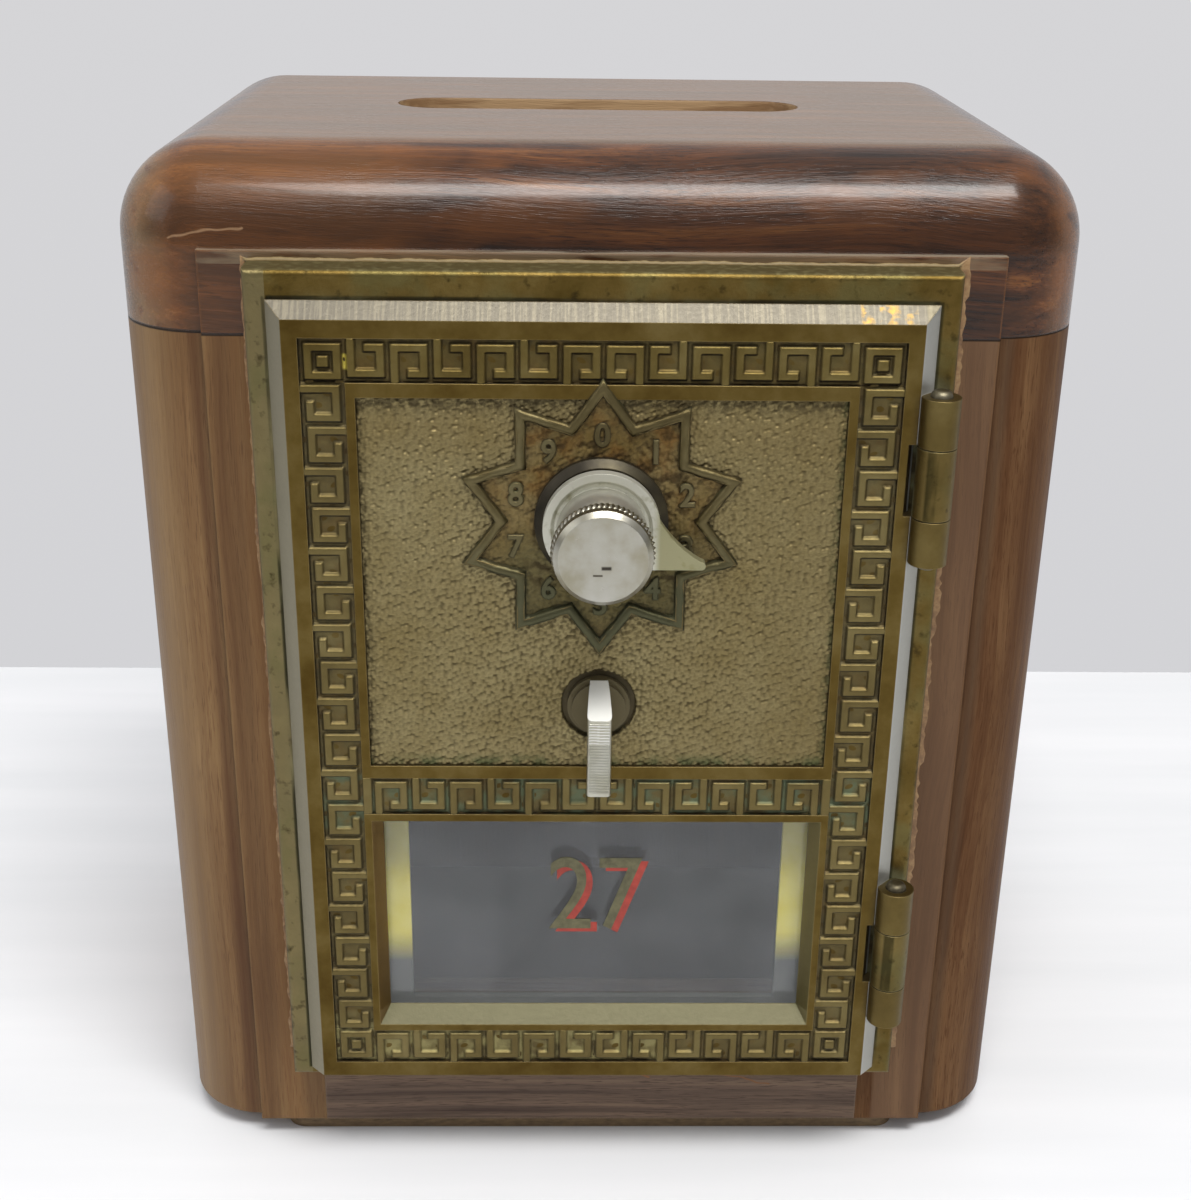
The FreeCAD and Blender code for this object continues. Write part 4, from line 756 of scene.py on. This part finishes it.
def relief_slab(name, x, z, depth, back, relief, material, body):
    """A closed slab: its front is y = depth over the grid of x and z, its back is the plane y = back. Walls join
    the two round the border, and a fan of triangles closes the back. All in millimetres."""
    rows, columns = x.shape
    front = np.stack([x, depth, z], -1).reshape(-1, 3)
    index = np.arange(rows * columns).reshape(rows, columns)
    ring = np.concatenate([index[0, :-1], index[:-1, -1], index[-1, :0:-1], index[:0:-1, 0]])
    rim = front[ring] * [1, 0, 1] + [0, back, 0]
    middle = [[x.mean(), back, z.mean()]]
    under = len(front) + np.arange(len(ring))
    walls = np.stack([ring, under, np.roll(under, -1), np.roll(ring, -1)], -1)
    fan = np.stack([np.roll(under, -1), under, np.full(len(ring), len(front) + len(ring))], -1)
    faces = grid_quads(rows, columns)
    smooth = np.concatenate([np.ones(len(faces)), np.zeros(len(walls) + len(fan))])
    heights = np.concatenate([np.ravel(relief), np.ravel(relief)[ring], [0]])
    return put_mesh(name, np.concatenate([front, rim, middle]), np.concatenate([faces, walls]), fan, smooth,
                    material, body, heights)


def flat_grid(x_range, z_range, step):
    """Grid of x and z over a rectangle at about the given step, in millimetres."""
    x = np.linspace(*x_range, round((x_range[1] - x_range[0]) / step) + 1)
    z = np.linspace(*z_range, round((z_range[1] - z_range[0]) / step) + 1)
    return np.meshgrid(x, z)


print("slab helpers ready")

# %% [markdown]
# ## Greek key borders
# Each key is one line that turns inwards four times: a stem from the border, a bar, a leg and a hook. As shapes these
# are four rectangles, and the least of their distances is the distance to the whole key. Turning that distance into
# height gives a raised line with the sloping sides that a casting needs to leave the sand. Along a
# border the keys stand on one edge and hang from the other by turns, and both halves of a band mirror each other.

# %% Key pattern as a distance
LINE = 1.1
GROOVE = 0.62
DRAFT = 0.3
BAND = 5.6
HOOK_GAP = 1.0
MITRE = 0.3


def rectangle(u, v, u_low, u_high, v_low, v_high):
    """Distance to a rectangle along the nearer axis: negative inside."""
    return np.maximum(np.maximum(u_low - u, u - u_high), np.maximum(v_low - v, v - v_high))


def key(u, v, pitch):
    """One key that stands on the border v = 0: least distance to its stem, bar, leg and hook."""
    near, far, high = GROOVE / 2, pitch - GROOVE / 2, BAND - GROOVE
    stem = rectangle(u, v, near, near + LINE, -LINE, high)
    bar = rectangle(u, v, near, far, high - LINE, high)
    leg = rectangle(u, v, far - LINE, far, GROOVE, high)
    hook = rectangle(u, v, near + LINE + HOOK_GAP, far, GROOVE, GROOVE + LINE)
    return np.minimum.reduce([stem, bar, leg, hook])


def key_run(along, across, pitch, first_far):
    """Keys in a row. Along is counted from the row's start, across from one border. Every second key is turned
    over to the other border, and first_far says that the first one hangs from the far border."""
    count = np.floor(along / pitch)
    far = (count % 2 == 0) == first_far
    return key(along - count * pitch, np.where(far, BAND - across, across), pitch)


def corner_square(a, b):
    """The square at a corner, from the two outer borders: a ring of one line with a stud in its middle."""
    outer = rectangle(a, b, GROOVE, BAND - MITRE, GROOVE, BAND - MITRE)
    inner = rectangle(a, b, GROOVE + LINE, BAND - MITRE - LINE, GROOVE + LINE, BAND - MITRE - LINE)
    middle, stud = (BAND + GROOVE - MITRE) / 2, 0.75
    centre = rectangle(a, b, middle - stud, middle + stud, middle - stud, middle + stud)
    return np.minimum(np.maximum(outer, -inner), centre)


def raised(distance):
    """1 on the line and 0 in the groove, with a smooth slope as wide as the draft."""
    t = np.clip(0.5 - distance / DRAFT, 0, 1)
    return t * t * (3 - 2 * t)


print("a key is", round(BAND - GROOVE, 2), "mm high")

# %% [markdown]
# Five slabs carry the pattern: top and bottom with their corner squares, the two sides, and the band between the
# panel and the window. Their grooves are as deep as the recess that the door has for them.

# %% Cast the five borders
STEP = 0.155
SINK = 0.6
BED = 0.02
PANEL_LAND = 1.2
band_out = door_half - 4.0
band_in = band_out - BAND
band_top, band_foot = door_head - 4.3, door_foot + 2.4
middle_foot = glass_high[2]
KEY_MARKS = [
    Mark("#857d60", 0.15, {"Z": (-50, band_top - BAND)}, 3.0),
    Mark("#624a26", 0.35, patch=(3.0, 0.4), low=True, dull=0.4),
    Mark("#606e55", 0.75, {"Z": (middle_foot - 3, middle_foot + BAND + 1)}, 1.0, (4.0, 0.6), low=True, dull=0.7),
    Mark("#9f9766", 0.7, {"X": (-50, 12), "Z": (0, band_foot + 9)}, 3.0, (3.0, 0.65), low=True, dull=0.7),
    Mark("#d2c258", 0.9, {"X": (-band_in - 0.3, -band_in + 0.5), "Z": (band_top - 4.1, band_top - 1.9)}, 0.3),
]
key_brass = aged_brass("cast_brass_keys", ["#584a27", "#685a33", "#766942"], "#1c1509", "#938454", KEY_MARKS,
                       relief=0.22, under=0.95, wear=0.4, soft_mm=0.16)


def cast_band(name, x_range, z_range, distance):
    """One border slab. Distance is a function of x and z that is negative on the raised lines."""
    x, z = flat_grid(x_range, z_range, STEP)
    high = raised(distance(x, z))
    wander = 0.03 * np.sin(x * 1.7 + np.sin(z * 1.3)) * np.cos(z * 2.1)
    depth = face_y + (SINK - BED) * (1 - high) + wander * (1 - high)
    return relief_slab(name, x, z, depth, face_y + SINK + 0.1, high, key_brass, "door")


def cross_band(x, rise, half_run, count, first_on_top, corner=None):
    """Horizontal band: keys from both ends to the middle, and corner squares beyond the run if there are any."""
    keys = key_run(half_run - np.abs(x), rise, half_run / count, first_on_top)
    return keys if corner is None else np.where(np.abs(x) > half_run, corner, keys)


def top_keys(x, z):
    """Top band: the outermost keys hang from the top border."""
    return cross_band(x, z - (band_top - BAND), band_in, 6, True, corner_square(band_out - np.abs(x), band_top - z))


def bottom_keys(x, z):
    """Bottom band: the outermost keys stand on the bottom border."""
    return cross_band(x, z - band_foot, band_in, 6, False, corner_square(band_out - np.abs(x), z - band_foot))


def middle_keys(x, z):
    """Middle band: keys between two upright lands, the outermost standing on the lower border."""
    run = band_in - PANEL_LAND
    keys = cross_band(x, z - middle_foot, run, 6, False)
    return np.where(np.abs(x) > run - DRAFT, np.minimum(run - np.abs(x), keys), keys)


def side_keys(x, z):
    """Side bands: keys follow each other down from the top corner, the first from the outer border."""
    length = band_top - band_foot - 2 * BAND
    return key_run(band_top - BAND - z, band_out - np.abs(x), length / 18, False)


cross, upright = (-band_out, band_out), (band_foot + BAND, band_top - BAND)
cast_band("key_band_top", cross, (band_top - BAND, band_top), top_keys)
cast_band("key_band_bottom", cross, (band_foot, band_foot + BAND), bottom_keys)
cast_band("key_band_middle", (-band_in, band_in), (middle_foot, middle_foot + BAND), middle_keys)
cast_band("key_band_left", (-band_out, -band_in), upright, side_keys)
cast_band("key_band_right", (band_in, band_out), upright, side_keys)

# %% [markdown]
# ## Pebbled panel and star
# The ground round the star was tooled with a pebbled grain. Pebbles come from cell noise: points are scattered one to
# a cell, and each place rises by how near its closest point is. Inside the star and the lever's dish the ground is
# different, so there the slab sinks behind the door's own metal.

# %% Pebbles and the star's outline
STAR_RADIUS = 18.5
STAR_NOTCH = 13.4
STAR_POINTS = 10
PEBBLE = 0.6
PEBBLE_HIGH = 0.3
PEBBLE_STRAY = 0.6
PEBBLE_TURN = np.radians(24)
PANEL_SINK = 0.7
DISH_RADIUS = 5.0


def pebbles(x, z, cell, seed):
    """Cell noise: 1 at a scattered point, falling with the square of the distance to the nearest one. The rows of
    cells are turned a little, and every second row is shifted by half a cell, so that no lines show."""
    jitter = 0.5 + PEBBLE_STRAY * (np.random.default_rng(seed).random((256, 256, 2)) - 0.5)
    across = (x * np.cos(PEBBLE_TURN) + z * np.sin(PEBBLE_TURN)) / cell
    along = (z * np.cos(PEBBLE_TURN) - x * np.sin(PEBBLE_TURN)) / cell
    row = np.floor(along).astype(int)
    nearest = np.full(x.shape, 9.0)
    for rise in (-1, 0, 1):
        shift = 0.5 * ((row + rise) % 2)
        column = np.floor(across - shift).astype(int)
        for side in (-1, 0, 1):
            spot = jitter[(row + rise) % 256, (column + side) % 256]
            away_x = column + side + shift + spot[..., 0] - across
            away_z = row + rise + spot[..., 1] - along
            nearest = np.minimum(nearest, away_x ** 2 + away_z ** 2)
    return np.clip(1 - nearest / 0.55, 0, 1)


def star_distance(x, z):
    """Signed distance to the star's outline: the angle is folded into half a point, where the outline is one
    straight line from the tip to the notch."""
    half = np.pi / STAR_POINTS
    angle = np.arctan2(x - dial_x, z - dial_z)
    fold = np.abs((angle + half) % (2 * half) - half)
    reach = np.hypot(x - dial_x, z - dial_z)
    tip, notch = np.array([STAR_RADIUS, 0]), STAR_NOTCH * np.array([np.cos(half), np.sin(half)])
    edge = (notch - tip) / np.linalg.norm(notch - tip)
    return (reach * np.cos(fold) - tip[0]) * edge[1] - (reach * np.sin(fold) - tip[1]) * edge[0]


print("star is", 2 * STAR_RADIUS, "mm across its points")

# %% Tool the panel
PANEL_STEP = 0.14
LAP = 0.6
LAP_DIP = 0.8
panel_half, panel_foot = band_in - PANEL_LAND, middle_foot + BAND + 1.9
panel_head = band_top - BAND - 1.9
PANEL_MARKS = [
    # painted shade: the right part of the panel is made darker and more olive, away from the light
    Mark("#6b5a34", 0.3, {"X": (4, 60)}, 30.0),
    Mark("#6f5a30", 0.35, {"Z": (panel_head - 9, panel_head + 1)}, 8.0),
    # painted shade and dirt: a dark band under the upper edge of the panel's recess
    Mark("#33280f", 0.85, {"Z": (panel_head - 2.6, panel_head + 1)}, 2.2, (0.8, 0.75), dull=0.6),
    Mark("#3b3218", 0.7, {"X": (-panel_half - 1, -panel_half + 1.3)}, 1.0, (1.0, 0.7), dull=0.5),
    Mark("#434426", 0.7, {"X": (panel_half - 1.3, panel_half + 1)}, 1.0, (1.0, 0.7), dull=0.5),
    # painted shade and dirt: pits round the star and the dish are darkened, in the shade round them
    Mark("#42361b", 0.45, {"X": (-25, 25), "Z": (lever_z - 12, dial_z + 6)}, 11.0, low=True, dull=0.3),
    Mark("#414d2c", 0.75, {"Z": (panel_foot - 1, panel_foot + 1.9)}, 1.4, (3.0, 0.6), dull=0.6),
]
tan_brass = aged_brass("pebbled_brass", ["#867851", "#8e815b", "#968a64"], "#3d3219", "#b4a67a", PANEL_MARKS,
                       rough=0.44, relief=0.5, under=0.7, corner_mm=3.0, wear=0.25, soft_mm=0.03)
floor_y = face_y + PANEL_SINK


def pebbled_slab(name, x_range, z_range, step, shown, high, material, past=np.zeros_like):
    """Pebbles over a rectangle, raised where shown(x, z) is above 0 and sunk behind the door's metal elsewhere. Past(x)
    is how far a place lies beyond the line where a second slab takes over, and the slab dips under it there. The
    relief attribute is 0 only in the deepest pits, which stay dirty."""
    x, z = flat_grid(x_range, z_range, step)
    grain = pebbles(x, z, PEBBLE, 5)
    raised_y = floor_y - 0.03 - high * grain + LAP_DIP * past(x) ** 2
    depth = np.where(shown(x, z) > 0, raised_y, floor_y + 0.5)
    pits = np.clip(1.5 * grain, 0, 1)
    return relief_slab(name, x, z, depth, floor_y + 0.6, pits, material, "door")


def round_star_and_dish(x, z):
    """Above 0 outside the star and outside the lever's dish."""
    return np.minimum(star_distance(x, z), np.hypot(x - dial_x, z - lever_z) - DISH_RADIUS)


def right_of_middle(x):
    """How far x lies to the right of the dial's axis, 0 on the left."""
    return np.clip(x - dial_x, 0, None)


def left_of_middle(x):
    """How far x lies to the left of the dial's axis, 0 on the right."""
    return np.clip(dial_x - x, 0, None)


panel_rise = (panel_foot, panel_head)
left_panel = pebbled_slab("pebbled_panel_left", (-panel_half, dial_x + LAP), panel_rise, PANEL_STEP,
                          round_star_and_dish, PEBBLE_HIGH, tan_brass, right_of_middle)
pebbled_slab("pebbled_panel_right", (dial_x - LAP, panel_half), panel_rise, PANEL_STEP, round_star_and_dish,
             PEBBLE_HIGH, tan_brass, left_of_middle)
print("vertices in each half of the panel:", len(left_panel.data.vertices))

# %% [markdown]
# Inside the star the ground has the same grain, worn lower and left dirty: orange brown above, and a darker
# greenish grey below the knob, green patina with the knob's shadow painted in. It is a slab of its own, which rises
# only inside the outline; the rib covers its border.

# %% Tool the ground of the star
GROUND_STEP = 0.18
GROUND_HIGH = 0.24
star_square = (dial_x - STAR_RADIUS, dial_x + STAR_RADIUS), (dial_z - STAR_RADIUS, dial_z + STAR_RADIUS)
GROUND_MARKS = [
    Mark("#7d5a2e", 0.6, {"X": (-16, 16), "Z": (dial_z - 4, dial_z + 19)}, 7.0, (3.0, 0.5)),
    # green patina and painted shadow of the knob: the lower half inside the star is darker and greenish
    Mark("#55543a", 0.6, {"X": (-16, 16), "Z": (dial_z - 19, dial_z + 1)}, 6.0),
    Mark("#33260f", 0.75, {"X": (-11, 13), "Z": (dial_z - 11, dial_z + 14)}, 3.0, (1.5, 0.45), dull=0.5),
]
ground_brass = aged_brass("dirty_shaded_brass_ground", ["#75623a", "#816f47", "#8c7b54"], "#2c2110", "#a09468", GROUND_MARKS,
                          rough=0.5, relief=0.4, under=0.7, corner_mm=2.4, wear=0.2, soft_mm=0.03)
pebbled_slab("star_ground", *star_square, GROUND_STEP, lambda x, z: -star_distance(x, z), GROUND_HIGH, ground_brass)
print("star ground is", 2 * STAR_RADIUS, "mm across")

# %% [markdown]
# The star itself is a raised line with a flat, eased top. Its profile, half of a squared ellipse, is carried round the
# twenty corners, and at each corner the offset follows the mitre, so the points stay sharp.

# %% Sweep the star's rib
RIB_WIDE = 1.4
RIB_HIGH = 1.2
RIB_SQUARE = 0.45
RIB_INSET = 0.5
RIB_STEPS = 7


def star_rib():
    """Closed profile carried along the outline, which is drawn in by the inset: each corner moves along its mitre by
    the profile's offset, and the steps between two corners are shares of both. Width and height vary a little from step to step, as in sand."""
    turn = np.arange(2 * STAR_POINTS) * np.pi / STAR_POINTS
    reach = np.where(np.arange(2 * STAR_POINTS) % 2 == 0, STAR_RADIUS, STAR_NOTCH)
    reach = reach * (1 + RIB_INSET / star_distance(dial_x, dial_z))
    corner = np.stack([reach * np.sin(turn), reach * np.cos(turn)], -1)
    run = np.roll(corner, -1, 0) - corner
    run /= np.linalg.norm(run, axis=1, keepdims=True)
    outward = np.stack([-run[:, 1], run[:, 0]], -1)
    before = np.roll(outward, 1, 0)
    mitre = (outward + before) / (1 + np.sum(outward * before, 1, keepdims=True))
    sweep = np.linspace(0, np.pi, 9)
    offset = np.append(RIB_WIDE / 2 * np.cos(sweep), [-RIB_WIDE / 2, RIB_WIDE / 2])
    lift = np.append(RIB_HIGH * np.sin(sweep) ** RIB_SQUARE, [-0.2, -0.2])
    share = np.tile(np.arange(RIB_STEPS) / RIB_STEPS, len(corner))[:, None]
    start = np.repeat(np.arange(len(corner)), RIB_STEPS)
    middle, aside = (a[start] * (1 - share) + np.roll(a, -1, 0)[start] * share for a in (corner, mitre))
    uneven = np.random.default_rng(6).uniform(0.9, 1.1, (2, len(start)))
    ring = middle[None] + (offset[:, None] * uneven[0])[..., None] * aside[None]
    depth = floor_y + 0.05 - np.where(lift[:, None] > 0, lift[:, None] * uneven[1], lift[:, None])
    return np.stack([ring[..., 0] + dial_x, depth, ring[..., 1] + dial_z], -1)


NO_TRIANGLES = np.zeros((0, 3))
rib = star_rib()
rib_faces = grid_quads(*rib.shape[:2], wrap_rows=True, wrap_columns=True)[:, ::-1]
STAR_MARKS = [
    Mark("#474b3a", 0.7, {"Z": (dial_z - 30, dial_z - 1)}, 9.0),
    Mark("#7c8058", 0.5, patch=(4.0, 0.4), low=True, dull=0.5),
]
star_brass = aged_brass("cast_brass_star", ["#574d33", "#645a3d", "#70674a"], "#20180b", "#857d5a", STAR_MARKS,
                        under=0.85, wear=0.25, sand_mm=0.12)
put_mesh("star_rib", rib.reshape(-1, 3), rib_faces, NO_TRIANGLES, True, star_brass, "door")
print("rib points:", rib.shape[0] * rib.shape[1])

# %% [markdown]
# ## Numerals of the dial
# Each point of the star holds a small cast figure, from 0 at the top and clockwise to 9. Blender's own plain font gives the
# outline, which is made a mesh, narrowed a little, and set upright on the ground of the star.

# %% Cast the numerals
def figures(text, high_mm, narrow, deep_mm, round_mm=0.0):
    """Points and triangles of a text that is set upright, facing the front, centred on its own middle. Its edges
    are rounded by round_mm, which also makes the strokes that much bolder on each side."""
    curve = bpy.data.curves.new("figures", "FONT")
    curve.body, curve.size = text, 1.0
    curve.extrude, curve.bevel_depth = 0.5 * deep_mm / high_mm * 0.7, round_mm / high_mm * 0.7
    curve.resolution_u = 6
    source = bpy.data.objects.new("figures", curve)
    mesh = bpy.data.meshes.new_from_object(source)
    mesh.calc_loop_triangles()
    flat = np.zeros(len(mesh.vertices) * 3)
    mesh.vertices.foreach_get("co", flat)
    corners = np.zeros(len(mesh.loop_triangles) * 3, np.int32)
    mesh.loop_triangles.foreach_get("vertices", corners)
    flat = flat.reshape(-1, 3)
    flat = flat - (flat.max(0) + flat.min(0)) / 2
    scale = high_mm / np.ptp(flat[:, 1])
    bpy.data.objects.remove(source)
    bpy.data.meshes.remove(mesh)
    upright = np.stack([flat[:, 0] * narrow, -flat[:, 2] * 1.0, flat[:, 1]], -1) * scale
    return upright, corners.reshape(-1, 3)


FIGURE_HIGH = 3.3
FIGURE_RING = 11.5
points, faces, used = [], [], 0
for number in range(STAR_POINTS):
    shape, triangles = figures(str(number), FIGURE_HIGH, 0.95, 0.54, 0.2)
    angle = 2 * np.pi * number / STAR_POINTS
    across, rise = FIGURE_RING * np.sin(angle), FIGURE_RING * np.cos(angle)
    points.append(shape + [dial_x + across, floor_y - 0.15, dial_z + rise])
    faces.append(triangles + used)
    used += len(shape)
numeral_brass = aged_brass("cast_brass_numerals", ["#5a5036", "#665d42", "#70684b"], "#20180b", "#857c58", STAR_MARKS,
                           under=0.9, wear=0.12)
put_mesh("star_numerals", np.concatenate(points), np.zeros((0, 4)), np.concatenate(faces), False,
         numeral_brass, "door")
print("numerals use", used, "points")

# %% [markdown]
# ## Number on the window
# A number was painted on the face of the pane: gilt, with a red shadow that drops to the right. Two thin layers
# of paint lie on the front of the glass, the red first, and the gilt covers most of it.

# %% Paint the window number
def brushed_paint(name, thin, thick, rough):
    """Sign paint by hand: thin where the brush ran dry, with fine specks."""
    material, tree, place = begin(name)
    brush = add(tree, "TexNoise", {"Scale": per(1.2), "Detail": 5, "Roughness": 0.7}, {"Vector": place})
    tone = add(tree, "ValToRGB", {"stops": [(0.35, thin), (0.62, thick)]}, {"Fac": brush})
    paint = add(tree, "BsdfPrincipled", {"Roughness": rough}, {"Base Color": tone})
    add(tree, "OutputMaterial", links={"Surface": paint})
    return material


NUMBER_HIGH = 12.0
NUMBER_Z = glass_low[2] + 20.5
PAINT = 0.04
number, faces = figures("27", NUMBER_HIGH, 0.8, PAINT)
gilt = brushed_paint("gilt_sign_paint", "#4d4a30", "#656042", 0.5)
red = brushed_paint("red_sign_paint", "#8c2f24", "#a83a2c", 0.5)
for name, material, layer, shift in (("window_number", gilt, 1.8, (0, 0)),
                                     ("window_number_shadow", red, 0.6, (0.9, -0.55))):
    spot = [dial_x + shift[0], glass_low[1] - layer * PAINT, NUMBER_Z + shift[1]]
    put_mesh(name, number + spot, np.zeros((0, 4)), faces, False, material, "door")
print("number stands", NUMBER_HIGH, "mm high")

# %% [markdown]
# ## Knurl of the knob
# A knurling wheel rolled a rope-like band round the back of the knob's cap, for the fingers. It is a ring whose
# section is a half round, and whose height waves round the ring, with the waves slanted like the strands of a rope.

# %% Roll the knurl
KNURL_TEETH = 58
KNURL_WIDE = 1.5
KNURL_SLANT = 2.2
CAP_RADIUS = 6.15
CAP_BACK = knob_low[1] + 3.2
theta, t = np.meshgrid(np.linspace(0, 2 * np.pi, 8 * KNURL_TEETH, endpoint=False), np.linspace(0, 1, 13))
strand = 0.5 + 0.5 * np.cos(KNURL_TEETH * theta + KNURL_SLANT * np.pi * t)
swell = np.sin(np.pi * t) ** 0.6
radius = CAP_RADIUS - 0.15 + swell * (0.2 + 0.28 * strand)
along = CAP_BACK - KNURL_WIDE * t
ring = np.stack([dial_x + radius * np.sin(theta), along, dial_z + radius * np.cos(theta)], -1)
ring_faces = grid_quads(*ring.shape[:2], wrap_rows=True, wrap_columns=True)[:, ::-1]
put_mesh("knob_knurl", ring.reshape(-1, 3), ring_faces, NO_TRIANGLES, True, nickel, "dial")
print("knurl radius", round(radius.max(), 2), "mm")

# %% [markdown]
# ## Grip of the lever
# The front of the lever is hatched with fine level grooves, so that a thumb does not slip. It is a thin slab whose
# front waves in height.

# %% Hatch the lever
HATCH_PITCH = 0.42
LEVER_HALF = 1.65
x, z = flat_grid((-LEVER_HALF + 0.3, LEVER_HALF - 0.3), (lever_low[2] + 0.5, lever_z + 1.1), 0.06)
wave = 0.5 + 0.5 * np.cos(2 * np.pi * z / HATCH_PITCH + 0.4 * np.sin(2.0 * x))
hatch_y = lever_low[1] - 0.02 - 0.1 * wave
relief_slab("lever_hatch", x, z, hatch_y, lever_low[1] + 0.2, wave, lever_plate, "lever")
print("hatch lines:", round(np.ptp(z) / HATCH_PITCH))

# %% [markdown]
# ## Old varnish along the frame
# When the box was finished, varnish ran against the brass frame and dried there as a ragged bead: orange brown at the
# sides, pale with dust on top. Its section is a quarter round that fills the corner between frame and wood. It is
# carried up the left edge, across the top and down the right one, and its width wanders as a runny liquid does.

# %% Run the bead
BEAD_STEP = 0.25
BEAD_SUNK = 0.05
BEAD_WIDE = {"left": 0.9, "top": 0.4, "right": 1.5}
BEAD_HIGH = {"left": 0.14, "top": 0.4, "right": 0.16}


def wander(length, knot_mm, seed):
    """A smooth random line from 0.6 to 1.4 along the given length: straight runs between seeded knots."""
    knots = np.arange(0, length + 2 * knot_mm, knot_mm)
    heights = np.random.default_rng(seed).uniform(0.6, 1.4, len(knots))
    return np.interp(np.arange(0, length, BEAD_STEP), knots, heights)


def varnish_bead():
    """Quarter-round section carried round three edges of the frame. Out is the direction away from the frame, which
    at the two corners is the sum of both neighbours, so that the bead is mitred there."""
    foot, head = frame_low[2] + 1.0, frame_top
    rise = np.arange(foot, head, BEAD_STEP)
    run = np.arange(-frame_half + BEAD_STEP, frame_half, BEAD_STEP)
    path = np.concatenate([np.stack([np.full(len(rise), -frame_half), rise], -1), [[-frame_half, head]],
                           np.stack([run, np.full(len(run), head)], -1), [[frame_half, head]],
                           np.stack([np.full(len(rise), frame_half), rise[::-1]], -1)])
    counts = len(rise), 1, len(run), 1, len(rise)
    out = np.repeat([[-1, 0], [-1, 1], [0, 1], [1, 1], [1, 0]], counts, axis=0)
    sides = ("left", "left", "top", "right", "right")
    ragged = 0.6 * wander(len(path) * BEAD_STEP, 2.6, 4)[:len(path)] + 0.4 * wander(len(path) * BEAD_STEP, 0.7, 9)[:len(path)]
    wide = np.repeat([BEAD_WIDE[s] for s in sides], counts) * ragged
    high = np.repeat([BEAD_HIGH[s] for s in sides], counts) * (0.5 + 0.5 * ragged)
    turn = np.linspace(0, np.pi / 2, 6)
    across = np.append(np.cos(turn), 0.0) * wide[:, None] - BEAD_SUNK
    lift = np.append(np.sin(turn), 0.0) * high[:, None] - BEAD_SUNK
    spot = path[:, None] + across[..., None] * out[:, None]
    return np.stack([spot[..., 0], WOOD_FRONT - lift, spot[..., 1]], -1)


def dried_varnish():
    """Dried varnish with dust in it: orange brown, cloudy, and pale along the top edge."""
    material, tree, place = begin("dried_varnish")
    cloud = add(tree, "TexNoise", {"Scale": per(1.3), "Detail": 5, "Roughness": 0.7}, {"Vector": place})
    tone = add(tree, "ValToRGB", {"stops": [(0.3, "#66492f"), (0.5, "#876743"), (0.7, "#a0835a")]}, {"Fac": cloud})
    dusty = within(tree, place, {"X": (-frame_half - 0.4, frame_half + 0.4), "Z": (frame_top - 0.3, frame_top + 2)}, 0.4)
    tone = lay(tree, tone, "#7b7148", dusty, 0.6)
    lumps = add(tree, "Bump", {"Strength": 0.5, "Distance": 0.15 * MM}, {"Height": cloud})
    varnish = add(tree, "BsdfPrincipled", {"Roughness": 0.55}, {"Base Color": tone, "Normal": lumps})
    add(tree, "OutputMaterial", links={"Surface": varnish})
    return material


bead = varnish_bead()
rings, round_count = bead.shape[:2]
fan = np.stack([np.zeros(round_count - 2, int), np.arange(1, round_count - 1), np.arange(2, round_count)], -1)
caps = np.concatenate([fan[:, ::-1], fan + (rings - 1) * round_count])
put_mesh("varnish_bead", bead.reshape(-1, 3), grid_quads(rings, round_count, wrap_columns=True), caps, True,
         dried_varnish(), "case")
print("bead rings:", rings)
